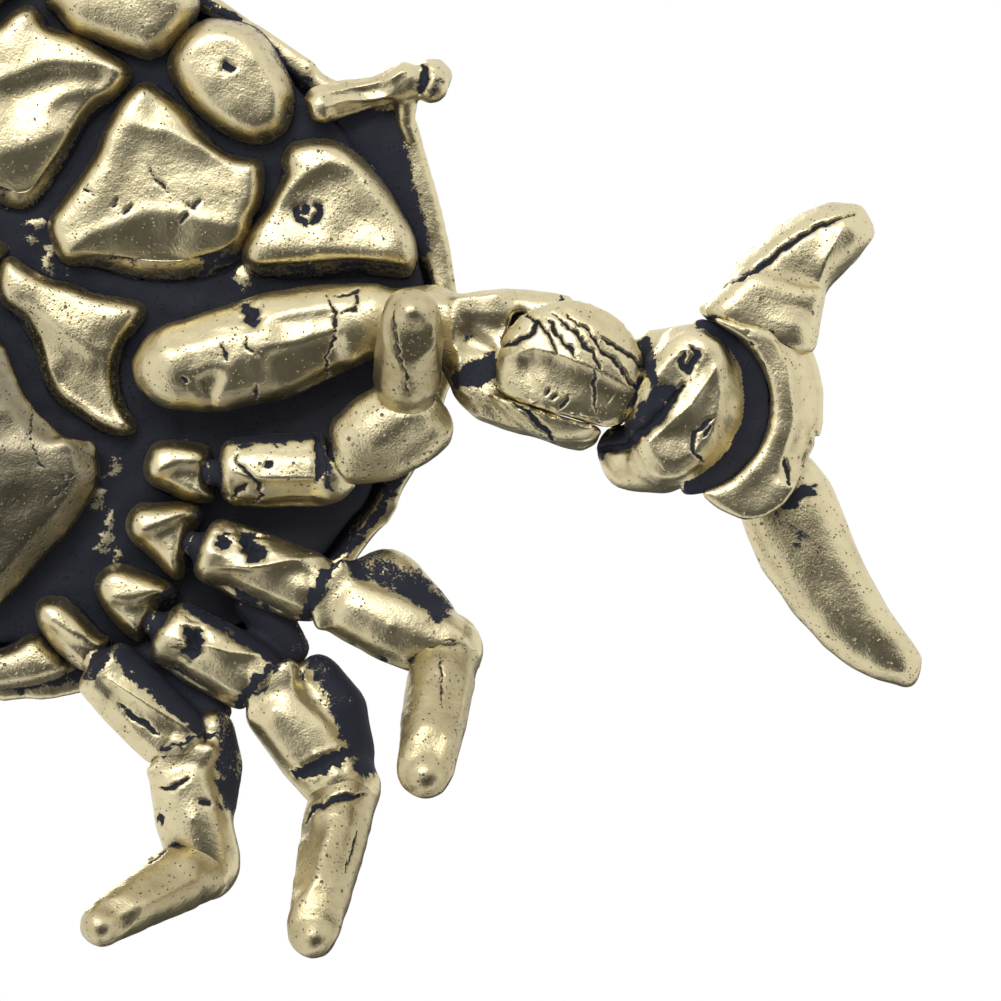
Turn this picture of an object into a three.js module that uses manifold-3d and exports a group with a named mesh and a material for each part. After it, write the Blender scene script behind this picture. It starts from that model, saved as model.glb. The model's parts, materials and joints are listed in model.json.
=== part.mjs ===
// Cast brass crab ornament, built as separate segments that turn on barrel hinges and pins.
// Millimetres, +Z up, the crab faces -Y and stands on its eight flat foot tips at Z = 0.
import * as THREE from 'three';
import { mergeVertices } from 'three/addons/utils/BufferGeometryUtils.js';
import Module from 'manifold-3d';

const wasm = await Module();
wasm.setup();

// Clearances
const SEAT_GAP = 0.3; // between pieces that are fixed to each other
const RUNNING_GAP = 0.25; // between pieces that turn on each other

// Shell and belly plate
const SHELL_WIDTH = 53.5;
const SHELL_LENGTH = 44;
const SHELL_RISE = 13; // rim to the top of the dome
const SHELL_WALL = 1.6;
const SHELL_SQUARENESS = 2.6; // 2 would be a plain ellipse
const SHELL_TAPER = 0.12; // share of its width that the shell loses toward the rear
const RIM_LIFT = 0.4; // the rim stands this much above the belly plate's underside
const BELLY_HEIGHT = 10; // ground to the underside of the belly plate
const BELLY_THICKNESS = 2;
const LEDGE_WIDTH = 1; // step inside the shell that the belly plate is pressed against
const LOBE_RISE = 1.1; // the lobes of the back stand this much above the furrows between them

// Heights of the raised pieces under the belly plate
const MOUTH_HEIGHT = 2.6;
const ANTENNA_HEIGHT = 2.8;
const CHEEK_HEIGHT = 2.6;
const BREAST_HEIGHT = 2.2;
const FLAP_HEIGHT = 3.4;
const TAIL_HEIGHT = 1.8;

// Eyes
const EYE_ROOT = [0.37, -0.877]; // shares of the shell's half width and half length
const EYE_HEADING = -47;
const EYE_REACH = 7; // stalk's root to the middle of the eyeball
const EYE_RISE = 1.6; // the eyeball sits this much higher than the stalk's root
const EYE_RADIUS = 1.25;
const EYE_STALK_RADIUS = 1.1;

// Legs
const LEG_RADIUS = 2.25;
const COXA_LENGTH = 4.4;
const COXA_WIDTH = 3.3;
const COXA_HEIGHT = 3.8;
const PEG_RADIUS = 0.8;
const PEG_DEPTH = 1.2;
const BARREL_RADIUS = 1.15;
const BARREL_LENGTH = 2;
const MOUTH_HALF = 1; // half the opening that a hinge's neck passes through
const SOCKET_LIP = 1.25; // hinge centre to the cut end of the socket
const FOOT_CUT = 0.5; // depth of the flat on each rounded foot tip

// Each leg from front to rear. coxa is a share of the shell's half width and half length,
// headings are degrees from +X toward +Y, ranges are degrees and positive straightens the leg.
const LEGS = [
  {
    coxa: [0.538, 0.19],
    merus: { length: 8.6, heading: -33 },
    carpus: { length: 6.2, heading: -67, drop: 1.2 },
    dactyl: { reach: 5.4, heading: -117, tipRadius: 1.9 },
    kneeRange: [-4, 8],
    tipRange: [0, 8],
  },
  {
    coxa: [0.576, 0.355],
    merus: { length: 9.4, heading: -11 },
    carpus: { length: 9.2, heading: -8, drop: 0 },
    dactyl: { reach: 7.2, heading: 68, tipRadius: 1.75 },
    kneeRange: [-12, 10],
    tipRange: [0, 22],
  },
  {
    coxa: [0.594, 0.586],
    merus: { length: 8.6, heading: -2.7 },
    carpus: { length: 8.9, heading: 17.6, drop: 0 },
    dactyl: { reach: 8.4, heading: 70.5, tipRadius: 1.6 },
    kneeRange: [-10, 10],
    tipRange: [0, 22],
  },
  {
    coxa: [0.512, 0.727],
    merus: { length: 9, heading: 13.6 },
    carpus: { length: 7.9, heading: 44, drop: 0 },
    dactyl: { reach: 6.6, heading: 120, tipRadius: 1.25 },
    kneeRange: [-10, 12],
    tipRange: [0, 22],
  },
];

// Claws. Places are in the claw's own frame: +X outward from the elbow axle, +Y to the rear.
const CLAW_DROP = 2.1; // seats under the belly plate to the middle plane of the claw
const ELBOW_OUT = 2.65; // elbow axle beyond the shell's side
const ELBOW_FORWARD = 12.9; // elbow axle ahead of the shell's middle
const ELBOW_HEADING = -15;
const ELBOW_RANGE = [-6, 28]; // positive lifts the claw
const ARM_ROOT = [0.33, 0.024]; // share of the shell's half width and half length
const ARM_BEND = [-7, -1.2]; // where the arm turns toward the fork
const ARM_RADIUS = 2.5;
const ARM_WAIST = 1.75; // where the first leg crosses under the arm
const CHEEK_HALF_DEPTH = 2; // half the depth of the fork's two cheeks
const CHEEK_END = 1.6; // the front cheek's end beyond the axle
const FORK_FRONT = 4.2; // outer side of the front cheek
const FORK_REAR = 4.4; // outer side of the rear cheek
const TONGUE_FRONT = 2.35; // the knuckle's sides between the cheeks
const TONGUE_REAR = 2.4;
const AXLE_RADIUS = 0.7;
const KNUCKLE_LENGTH = 8.2;
const KNUCKLE_WIDTH = 8.6;
const KNUCKLE_DEPTH = 7.4;
const KNUCKLE_AHEAD = 2.4; // knuckle's middle beyond the axle
const WRIST_AHEAD = 9; // wrist pin beyond the axle
const WRIST_LENGTH = 6.4;
const WRIST_WIDTH = 10.2;
const WRIST_DEPTH = 8.2;
const WRIST_RANGE = [-14, 14]; // positive swings the claw to the rear
const WRIST_PEG_LEVEL = 2.4; // the two pegs are this far above and below the middle plane
const LINK_HALF_DEPTH = 0.95; // the flat link on the wrist pin
const LINK_HALF_WIDTH = 1.3;
const LINK_HEADING = -30; // the link joins the front half of the palm
const PALM_RADIUS = 8.6; // outer side of the palm, round the wrist pin
const PALM_DEPTH = 8;
const PALM_REAR = 4.7; // wrist pin to the palm's flat rear end
const FINGER_SEAT = 5.5; // wrist pin to the palm's flat front end
const FINGER_SEAT_HEADING = -95;
const FINGER_PEG_ASIDE = 5.1;
const FIXED_FINGER_LENGTH = 10;
const FIXED_FINGER_HALF_DEPTH = 2.5;
const FINGER_PIN = [6.35, 2.95]; // the moving finger's pin, from the wrist pin
const FINGER_LENGTH = 12.5; // moving finger, beyond its pin
const FINGER_HALF_DEPTH = 1.9;
const FINGER_SLOT_RADIUS = 4.2;
const FINGER_RANGE = [-8, 40]; // positive closes the finger

// Surfaces of the real piece: polished brass over blue-black patina
const SURFACES = {
  polished: { color: 0xc2a868, roughness: 0.32, metalness: 1 },
  worn: { color: 0x8f7d4e, roughness: 0.45, metalness: 1 },
  patina: { color: 0x23252e, roughness: 0.55, metalness: 0.6 },
};

const HALF_WIDTH = SHELL_WIDTH / 2;
const HALF_LENGTH = SHELL_LENGTH / 2;
const RIM_HEIGHT = BELLY_HEIGHT + RIM_LIFT;
const SEAT = BELLY_HEIGHT - SEAT_GAP; // level where the raised pieces start
const LEG_LINE = SEAT - LEG_RADIUS;
const CLAW_LINE = SEAT - CLAW_DROP;
const ROUND_SIDES = 10;
const OUTLINE_POINTS = 16;
const FAR = 60; // reach of the cutting blocks
const HALVINGS = 20; // steps of the search for a height on the shell
const SIDES = { left: 1, right: -1 };

const radians = THREE.MathUtils.degToRad;
const vector = (x, y, z) => new THREE.Vector3(x, y, z);
const place = (x, y, z) => new THREE.Matrix4().makeTranslation(x, y, z);
const turned = (angle) => new THREE.Matrix4().makeRotationZ(angle);
const onBelly = (side) => ([x, y]) => [side * x * HALF_WIDTH, y * HALF_LENGTH];

// A body skinned over rings of equal point counts, with both ends closed.
function skin(rings) {
  const count = rings[0].length;
  const middle = (ring) => ring.reduce((sum, p) => sum.add(p), vector(0, 0, 0)).divideScalar(count);
  const points = [...rings.flat(), middle(rings[0]), middle(rings.at(-1))];
  const startMiddle = rings.length * count;
  const lastRing = startMiddle - count;
  const faces = [];
  for (let i = 0; i < count; i += 1) {
    const next = (i + 1) % count;
    for (let low = 0; low < lastRing; low += count) {
      const high = low + count;
      faces.push(low + i, low + next, high + next, low + i, high + next, high + i);
    }
    faces.push(startMiddle, next, i, startMiddle + 1, lastRing + i, lastRing + next);
  }
  const geometry = new THREE.BufferGeometry().setFromPoints(points);
  geometry.setIndex(faces);
  return geometry;
}

function solidOf(geometry, matrix = new THREE.Matrix4()) {
  const bare = geometry.clone().applyMatrix4(matrix);
  bare.deleteAttribute('normal');
  bare.deleteAttribute('uv');
  const merged = mergeVertices(bare, 1e-4);
  return new wasm.Manifold(new wasm.Mesh({
    numProp: 3,
    vertProperties: new Float32Array(merged.attributes.position.array),
    triVerts: new Uint32Array(merged.index.array),
  }));
}

function geometryOf(solid) {
  const mesh = solid.getMesh();
  const geometry = new THREE.BufferGeometry();
  geometry.setAttribute('position', new THREE.BufferAttribute(mesh.vertProperties, 3));
  geometry.setIndex(new THREE.BufferAttribute(mesh.triVerts, 1));
  return geometry;
}

// A block between two corners.
function block(low, high, matrix) {
  const size = high.map((value, axis) => value - low[axis]);
  const centre = high.map((value, axis) => (value + low[axis]) / 2);
  return solidOf(new THREE.BoxGeometry(...size).applyMatrix4(place(...centre)), matrix);
}

// A round bar along Y, between two places on that axis.
function barAlongY(radius, from, to, matrix) {
  const geometry = new THREE.CylinderGeometry(radius, radius, to - from, ROUND_SIDES);
  return solidOf(geometry.applyMatrix4(place(0, (from + to) / 2, 0)), matrix);
}

// An upright round bar about a plan point, as far above the plane Z = 0 as below it.
function barAlongZ(radius, halfHeight, [x, y], sides = ROUND_SIDES) {
  const geometry = new THREE.CylinderGeometry(radius, radius, 2 * halfHeight, sides);
  return solidOf(geometry.rotateX(Math.PI / 2).applyMatrix4(place(x, y, 0)));
}

// A round limb along +X through [distance, radius] stations.
function limb(stations) {
  return skin(stations.map(([distance, radius]) => {
    const ring = [];
    for (let i = 0; i < ROUND_SIDES; i += 1) {
      const turn = (2 * Math.PI * i) / ROUND_SIDES;
      ring.push(vector(distance, radius * Math.cos(turn), radius * Math.sin(turn)));
    }
    return ring;
  }));
}

// A closed smooth outline through plan points, counter-clockwise seen from above.
function outline(points, count = OUTLINE_POINTS) {
  const corners = points.map(([x, y]) => vector(x, y, 0));
  const curve = new THREE.CatmullRomCurve3(corners, true, 'centripetal');
  const ring = curve.getSpacedPoints(count).slice(0, count);
  return THREE.ShapeUtils.area(ring) > 0 ? ring : ring.reverse();
}

function oval(halfLength, halfWidth, count) {
  const ring = [];
  for (let i = 0; i < count; i += 1) {
    const turn = (2 * Math.PI * i) / count;
    ring.push(vector(halfLength * Math.cos(turn), halfWidth * Math.sin(turn), 0));
  }
  return ring;
}

// Rings of one outline, each drawn in toward its middle by a share and set at a height.
function levels(ring, steps) {
  const centre = ring.reduce((sum, p) => sum.add(p), vector(0, 0, 0)).divideScalar(ring.length);
  return steps.map(([share, height]) => ring.map((p) => p.clone().lerp(centre, 1 - share).setZ(height)));
}

// A domed boss that stands down from the belly plate.
function boss(ring, height) {
  const steps = [[0.5, 1], [0.87, 0.86], [1, 0.5], [1, 0]];
  return skin(levels(ring, steps.map(([share, depth]) => [share, SEAT - depth * height])));
}

// A piece domed alike on both faces, about the plane Z = 0.
function domedTwice(ring, halfDepth, steps) {
  const lower = steps.map(([share, depth]) => [share, -depth * halfDepth]);
  const upper = steps.map(([share, depth]) => [share, depth * halfDepth]).reverse();
  return solidOf(skin(levels(ring, [...lower, ...upper])));
}

const pillow = (ring, halfDepth) => domedTwice(ring, halfDepth, [[0.5, 1], [0.87, 0.82], [1, 0.35]]);
const drum = (ring, halfDepth) => domedTwice(ring, halfDepth, [[0.7, 1], [0.9, 0.86], [1, 0.5]]);

const crab = new THREE.Group();

function addMesh(parent, name, geometry, surface) {
  const mesh = new THREE.Mesh(geometry, new THREE.MeshStandardMaterial(SURFACES[surface]));
  mesh.name = name;
  parent.add(mesh);
  return mesh;
}

// Shell: a domed casting, open below, with a ledge inside its rim for the belly plate.
const SHELL_SIDES = 36;

function shellRing(inset, share, height) {
  const ring = [];
  const rounded = (value) => Math.sign(value) * Math.abs(value) ** (2 / SHELL_SQUARENESS);
  for (let i = 0; i < SHELL_SIDES; i += 1) {
    const turn = (2 * Math.PI * i) / SHELL_SIDES;
    const along = rounded(Math.sin(turn));
    const taper = 1 - SHELL_TAPER * Math.max(along, 0) ** 2;
    const x = (HALF_WIDTH - inset) * rounded(Math.cos(turn)) * taper;
    ring.push(vector(share * x, share * (HALF_LENGTH - inset) * along, height));
  }
  return ring;
}

const domeCurve = (share) => (1 - share ** 2.4) ** 0.62;

function shellDome(inset, base, rise, shares) {
  return solidOf(skin(shares.map((share) => shellRing(inset, share, base + rise * domeCurve(share)))));
}

// Height of the shell's outside over a plan point.
function backHeight({ x, y }) {
  let low = 0;
  let high = 1;
  for (let i = 0; i < HALVINGS; i += 1) {
    const share = (low + high) / 2;
    const along = y / (share * HALF_LENGTH);
    const taper = 1 - SHELL_TAPER * Math.max(along, 0) ** 2;
    const across = x / (share * HALF_WIDTH * taper);
    const reach = Math.abs(across) ** SHELL_SQUARENESS + Math.abs(along) ** SHELL_SQUARENESS;
    if (reach > 1) low = share;
    else high = share;
  }
  return RIM_HEIGHT + SHELL_RISE * domeCurve(high);
}

// A closed row of plan points from its left half, which starts and ends on the middle line.
function bothHalves(points) {
  const right = points.slice(1, -1).map(onBelly(SIDES.right)).reverse();
  return [...points.map(onBelly(SIDES.left)), ...right];
}

// Lobes of the back. Outline points are shares of the shell's half width and half length.
const STOMACH_LOBE = [[0, -0.64], [0.15, -0.62], [0.27, -0.5], [0.29, -0.32], [0.19, -0.13], [0, -0.07]];
const HEART_LOBE = [[0, 0], [0.13, 0.03], [0.19, 0.2], [0.15, 0.42], [0.19, 0.62], [0, 0.7]];
const GILL_LOBE = [[0.27, 0.02], [0.38, -0.2], [0.55, -0.24], [0.72, -0.1], [0.76, 0.12], [0.66, 0.4],
  [0.5, 0.6], [0.3, 0.66], [0.23, 0.5], [0.27, 0.25]];
const BROW_LOBE = [[0.36, -0.4], [0.36, -0.56], [0.46, -0.66], [0.6, -0.62], [0.74, -0.42], [0.76, -0.26],
  [0.62, -0.33], [0.48, -0.33]];

function lobe(points) {
  const steps = [[1, -0.6], [0.92, 0.35], [0.78, 0.8], [0.4, 1]];
  const rings = levels(outline(points), steps);
  rings.forEach((ring, i) => ring.forEach((p) => p.setZ(backHeight(p) + steps[i][1] * LOBE_RISE)));
  return solidOf(skin(rings));
}

function shellLobes() {
  const sided = [GILL_LOBE, BROW_LOBE].flatMap((points) => (
    Object.values(SIDES).map((side) => lobe(points.map(onBelly(side))))));
  return wasm.Manifold.union([lobe(bothHalves(STOMACH_LOBE)), lobe(bothHalves(HEART_LOBE)), ...sided]);
}

const bellyTop = BELLY_HEIGHT + BELLY_THICKNESS;
const ledge = bellyTop + SEAT_GAP;
const hollowRise = RIM_HEIGHT + SHELL_RISE - SHELL_WALL - ledge;
const hollow = shellDome(SHELL_WALL + LEDGE_WIDTH, ledge, hollowRise, [1, 0.93, 0.72, 0.35]);
const shellMouth = skin([shellRing(SHELL_WALL, 1, BELLY_HEIGHT), shellRing(SHELL_WALL, 1, ledge)]);
const shellOuter = shellDome(0, RIM_HEIGHT, SHELL_RISE, [1, 0.985, 0.93, 0.82, 0.64, 0.42, 0.18]);
const shell = shellOuter.add(shellLobes()).subtract(hollow).subtract(solidOf(shellMouth));
addMesh(crab, 'shell', geometryOf(shell), 'polished');

const bellyInset = SHELL_WALL + SEAT_GAP;
const belly = skin([shellRing(bellyInset, 1, BELLY_HEIGHT), shellRing(bellyInset, 1, bellyTop)]);
addMesh(crab, 'belly_plate', belly, 'patina');

// Raised plates under the belly. Outline points are shares of the shell's half width and half length.
const PLATES = {
  mouth_plate: {
    height: MOUTH_HEIGHT,
    points: [[0.013, -0.58], [0.05, -0.67], [0.12, -0.675], [0.2, -0.625], [0.315, -0.65], [0.355, -0.55],
      [0.37, -0.45], [0.33, -0.33], [0.24, -0.235], [0.12, -0.18], [0.05, -0.15], [0.013, -0.23]],
  },
  antenna_plate: {
    height: ANTENNA_HEIGHT,
    points: [[0.014, -0.8], [0.03, -0.87], [0.07, -0.91], [0.14, -0.92], [0.23, -0.895], [0.3, -0.82],
      [0.305, -0.735], [0.245, -0.705], [0.15, -0.72], [0.055, -0.735]],
  },
  cheek_plate: {
    height: CHEEK_HEIGHT,
    points: [[0.365, -0.735], [0.44, -0.8], [0.53, -0.795], [0.635, -0.75], [0.715, -0.67], [0.725, -0.605],
      [0.585, -0.505], [0.43, -0.42], [0.4, -0.45], [0.405, -0.57]],
  },
  breast_plate: {
    height: BREAST_HEIGHT,
    points: [[0.013, -0.05], [0.12, -0.085], [0.265, -0.115], [0.262, -0.02], [0.28, 0.06], [0.335, 0.115],
      [0.375, 0.165], [0.28, 0.185], [0.185, 0.18], [0.08, 0.11], [0.013, 0.05]],
  },
  tail_plate: {
    height: TAIL_HEIGHT,
    points: [[0.4, 0.86], [0.44, 0.81], [0.53, 0.84], [0.44, 0.905]],
  },
};

for (const [sideName, side] of Object.entries(SIDES)) {
  for (const [plateName, plate] of Object.entries(PLATES)) {
    const ring = outline(plate.points.map(onBelly(side)));
    addMesh(crab, `${plateName}_${sideName}`, boss(ring, plate.height), 'polished');
  }
}

// Tail flap: one broad plate, the same on both sides of the middle line.
const FLAP_POINTS = [[0, 0.115], [0.055, 0.165], [0.125, 0.235], [0.27, 0.28], [0.34, 0.245], [0.385, 0.31],
  [0.395, 0.48], [0.37, 0.6], [0.35, 0.76], [0.25, 0.88], [0, 0.925]];
addMesh(crab, 'tail_flap', boss(outline(bothHalves(FLAP_POINTS), 2 * OUTLINE_POINTS), FLAP_HEIGHT), 'worn');

// Eyes: a tapered stalk from the front of the belly plate, and the eyeball beyond the rim.
for (const [sideName, side] of Object.entries(SIDES)) {
  const [rootX, rootY] = onBelly(side)(EYE_ROOT);
  const turn = radians(EYE_HEADING);
  const ball = vector(side * EYE_REACH * Math.cos(turn), EYE_REACH * Math.sin(turn), EYE_RISE);
  const reach = ball.length();
  const eye = addMesh(crab, `eye_${sideName}`, limb([
    [-0.7 * EYE_STALK_RADIUS, 0.6 * EYE_STALK_RADIUS], [0, EYE_STALK_RADIUS],
    [0.45 * reach, 0.8 * EYE_STALK_RADIUS], [reach - 0.9 * EYE_RADIUS, 0.6 * EYE_RADIUS],
    [reach - 0.5 * EYE_RADIUS, 0.88 * EYE_RADIUS], [reach, EYE_RADIUS],
    [reach + 0.6 * EYE_RADIUS, 0.8 * EYE_RADIUS], [reach + EYE_RADIUS, 0.2 * EYE_RADIUS]]), 'polished');
  eye.position.set(rootX, rootY, SEAT - EYE_STALK_RADIUS);
  eye.quaternion.setFromUnitVectors(vector(1, 0, 0), ball.normalize());
}

// Legs: a coxa fixed under the belly, then three segments on two barrel hinges.
const JOINT_SIDE = BARREL_LENGTH / 2 + RUNNING_GAP;
const middleOf = ([low, high]) => (low + high) / 2;
const halfOf = ([low, high]) => (high - low) / 2;
const bodyStart = (range) => SOCKET_LIP + LEG_RADIUS * Math.sin(radians(halfOf(range))) + SEAT_GAP;

// A frame with +X along a segment and +Y along its hinge.
function frameAt(origin, forward, hinge) {
  const across = vector(0, 0, 0).crossVectors(forward, hinge);
  return new THREE.Matrix4().makeBasis(forward, hinge, across).setPosition(origin);
}

// The barrel and neck that an outer segment turns on.
function barrel(range) {
  const swing = radians(halfOf(range));
  const neckHalf = (MOUTH_HALF - RUNNING_GAP / 2 - SOCKET_LIP * Math.tan(swing)) * Math.cos(swing);
  const neckEnd = bodyStart(range) + RUNNING_GAP;
  const neck = block([0, -BARREL_LENGTH / 2, -neckHalf], [neckEnd, BARREL_LENGTH / 2, neckHalf]);
  return barAlongY(BARREL_RADIUS, -BARREL_LENGTH / 2, BARREL_LENGTH / 2).add(neck);
}

// Cuts the socket for the next segment's barrel, and the end face that lets it swing.
function cutSocket(solid, frame, nextFrame, range) {
  const swung = new THREE.Matrix4().makeRotationY(radians(middleOf(range)));
  const matrix = frame.clone().invert().multiply(nextFrame).multiply(swung);
  const reach = 2 * LEG_RADIUS;
  const beyond = block([SOCKET_LIP, -reach, -reach], [2 * reach, reach, reach], matrix);
  const bore = barAlongY(BARREL_RADIUS + RUNNING_GAP, -JOINT_SIDE, JOINT_SIDE, matrix);
  const mouth = block([0, -JOINT_SIDE, -MOUTH_HALF], [reach, JOINT_SIDE, MOUTH_HALF], matrix);
  return solid.subtract(beyond).subtract(bore).subtract(mouth);
}

// A segment body from a blunt start to a round end about the far joint.
function segmentBody(start, length, middleRadius, endRadius) {
  return solidOf(limb([[start, 0.72 * LEG_RADIUS], [start + 0.18 * LEG_RADIUS, 0.94 * LEG_RADIUS],
    [(start + length) / 2, middleRadius], [length, endRadius], [length + 0.5 * endRadius, 0.87 * endRadius],
    [length + 0.87 * endRadius, 0.5 * endRadius], [length + endRadius, 0.15 * endRadius]]));
}

function addSegment(name, solid, frame) {
  const mesh = addMesh(crab, name, geometryOf(solid), 'polished');
  frame.decompose(mesh.position, mesh.quaternion, mesh.scale);
  return mesh;
}

function buildLeg({ coxa, merus, carpus, dactyl, kneeRange, tipRange }, number, sideName, side) {
  const along = (heading) => vector(side * Math.cos(radians(heading)), Math.sin(radians(heading)), 0);
  const [coxaX, coxaY] = onBelly(side)(coxa);
  const hip = vector(coxaX, coxaY, LEG_LINE);
  const knee = hip.clone().addScaledVector(along(merus.heading), merus.length);
  const ankle = knee.clone().addScaledVector(along(carpus.heading), carpus.length).setZ(LEG_LINE - carpus.drop);
  const footHeight = dactyl.tipRadius - FOOT_CUT;
  const foot = ankle.clone().addScaledVector(along(dactyl.heading), dactyl.reach).setZ(footHeight);

  const toward = (from, to) => to.clone().sub(from).normalize();
  const straightening = (inner, outer) => vector(0, 0, 0).crossVectors(outer, inner).normalize();
  const [merusWay, carpusWay, dactylWay] = [toward(hip, knee), toward(knee, ankle), toward(ankle, foot)];
  const kneeAxis = straightening(merusWay, carpusWay);
  const merusFrame = frameAt(hip, merusWay, kneeAxis);
  const carpusFrame = frameAt(knee, carpusWay, kneeAxis);
  const dactylFrame = frameAt(ankle, dactylWay, straightening(carpusWay, dactylWay));

  const merusStart = COXA_LENGTH / 2 + SEAT_GAP;
  const pegRoot = merusStart - PEG_DEPTH;
  const peg = solidOf(limb([[pegRoot, PEG_RADIUS], [merusStart + SEAT_GAP, PEG_RADIUS]]));
  const pegHole = limb([[pegRoot - SEAT_GAP, PEG_RADIUS + SEAT_GAP], [COXA_LENGTH, PEG_RADIUS + SEAT_GAP]]);
  const coxaTurn = turned(Math.atan2(merusWay.y, merusWay.x));
  const coxaBoss = boss(oval(COXA_LENGTH / 2, COXA_WIDTH / 2, ROUND_SIDES), COXA_HEIGHT);
  const coxaBlock = solidOf(coxaBoss, place(coxaX, coxaY, 0).multiply(coxaTurn));
  const coxaSolid = coxaBlock.subtract(solidOf(pegHole, merusFrame));

  const merusBody = segmentBody(merusStart, merus.length, 1.02 * LEG_RADIUS, LEG_RADIUS).add(peg);
  const carpusLength = knee.distanceTo(ankle);
  const carpusBody = segmentBody(bodyStart(kneeRange), carpusLength, 1.06 * LEG_RADIUS, LEG_RADIUS);
  const carpusWhole = carpusBody.add(barrel(kneeRange));
  const dactylLength = ankle.distanceTo(foot);
  const tipRadius = dactyl.tipRadius;
  const dactylBody = segmentBody(bodyStart(tipRange), dactylLength, (LEG_RADIUS + tipRadius) / 2, tipRadius);
  const belowGround = block([-FAR, -FAR, -FAR], [FAR, FAR, 0], dactylFrame.clone().invert());

  const name = (piece) => `${piece}_${number}_${sideName}`;
  addMesh(crab, name('coxa'), geometryOf(coxaSolid), 'polished');
  const merusSolid = cutSocket(merusBody, merusFrame, carpusFrame, kneeRange);
  const carpusSolid = cutSocket(carpusWhole, carpusFrame, dactylFrame, tipRange);
  const dactylSolid = dactylBody.add(barrel(tipRange)).subtract(belowGround);
  addSegment(name('merus'), merusSolid, merusFrame);
  addSegment(name('carpus'), carpusSolid, carpusFrame).userData.hinge = { axis: [0, 1, 0], range: kneeRange };
  addSegment(name('dactyl'), dactylSolid, dactylFrame).userData.hinge = { axis: [0, 1, 0], range: tipRange };
}

for (const [sideName, side] of Object.entries(SIDES)) {
  LEGS.forEach((leg, index) => buildLeg(leg, index + 1, sideName, side));
}

// Claws: an arm that ends in a fork, a knuckle on the fork's axle, a wrist pegged to the knuckle,
// a crescent palm on the wrist pin, a finger seated on the palm and a finger on a pin in its slot.
const CHEEK_FRONT = TONGUE_FRONT + RUNNING_GAP; // inner sides of the fork's cheeks
const CHEEK_REAR = TONGUE_REAR + RUNNING_GAP;
const WRIST_BORE = WRIST_WIDTH / 2 + SEAT_GAP; // hollow side of the palm, round the wrist
const elbowX = HALF_WIDTH + ELBOW_OUT;
const seatTurn = turned(radians(FINGER_SEAT_HEADING));

// The arm's path from under the belly to the fork, as [x, y, radius] in the claw's frame.
function armStations() {
  const toClaw = place(elbowX, -ELBOW_FORWARD, 0).multiply(turned(radians(ELBOW_HEADING))).invert();
  const root = vector(...onBelly(SIDES.left)(ARM_ROOT), 0).applyMatrix4(toClaw);
  const bend = vector(...ARM_BEND, 0);
  const profile = [[0, 0.35], [0.04, 0.72], [0.12, 1], [0.5, 1], [0.8, 0.84]];
  const stations = profile.map(([share, width]) => {
    const spot = root.clone().lerp(bend, share);
    return [spot.x, spot.y, width * ARM_RADIUS];
  });
  return [...stations, [...ARM_BEND, ARM_WAIST], [ARM_BEND[0] / 2, ARM_BEND[1] / 2, ARM_WAIST]];
}

function armBar() {
  const stations = armStations();
  const points = stations.map(([x, y]) => vector(x, y, 0));
  return solidOf(skin(points.map((point, i) => {
    const before = points[Math.max(i - 1, 0)];
    const after = points[Math.min(i + 1, points.length - 1)];
    const across = vector(0, 0, 1).cross(after.clone().sub(before)).normalize();
    const radius = stations[i][2];
    const ring = oval(radius, radius, ROUND_SIDES);
    return ring.map(({ x, y }) => point.clone().addScaledVector(across, x).setZ(y));
  })));
}

function armSolid() {
  const forkPoints = [[-6.8, -1.9], [-5.2, -3], [-2, 0.1 - FORK_FRONT], [CHEEK_END - 0.2, -FORK_FRONT],
    [CHEEK_END, -CHEEK_FRONT], [-1, 0], [4.5, CHEEK_REAR], [4.8, FORK_REAR - 0.3], [1, FORK_REAR],
    [-3, FORK_REAR - 0.2], [-5.2, 2.4], [-6.8, 0]];
  const fork = pillow(outline(forkPoints, 28), CHEEK_HALF_DEPTH);
  const throat = barAlongY(KNUCKLE_DEPTH / 2 + RUNNING_GAP, -CHEEK_FRONT, CHEEK_REAR)
    .add(block([0, -CHEEK_FRONT, -FAR], [FAR, CHEEK_REAR, FAR]));
  const intoBelly = block([-FAR, -FAR, CLAW_DROP], [FAR, FAR, FAR]);
  const axle = barAlongY(AXLE_RADIUS, -CHEEK_FRONT - RUNNING_GAP, CHEEK_REAR + RUNNING_GAP);
  return armBar().add(fork).subtract(throat).subtract(intoBelly).add(axle);
}

function knuckleBall(grow) {
  const ball = new THREE.SphereGeometry(1, 14, 8).rotateX(Math.PI / 2);
  ball.scale(KNUCKLE_LENGTH / 2 + grow, KNUCKLE_WIDTH / 2 + grow, KNUCKLE_DEPTH / 2 + grow);
  return solidOf(ball, place(KNUCKLE_AHEAD, 0, 0));
}

function wristPegs(grow) {
  const radius = PEG_RADIUS + grow;
  const peg = limb([[KNUCKLE_AHEAD + AXLE_RADIUS, radius], [WRIST_AHEAD - WRIST_LENGTH / 4 + grow, radius]]);
  return solidOf(peg, place(0, 0, WRIST_PEG_LEVEL)).add(solidOf(peg, place(0, 0, -WRIST_PEG_LEVEL)));
}

function knuckleSolid() {
  const cheekSweep = Math.hypot(CHEEK_END, CHEEK_HALF_DEPTH) + RUNNING_GAP;
  const front = barAlongY(cheekSweep, -FAR, -TONGUE_FRONT)
    .add(block([-FAR, -FAR, -FAR], [0, -TONGUE_FRONT, FAR]));
  const rear = block([-FAR, TONGUE_REAR, -FAR], [FAR, FAR, FAR]);
  const hole = barAlongY(AXLE_RADIUS + RUNNING_GAP, -FAR, FAR);
  return knuckleBall(0).add(wristPegs(0)).subtract(front).subtract(rear).subtract(hole);
}

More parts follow.
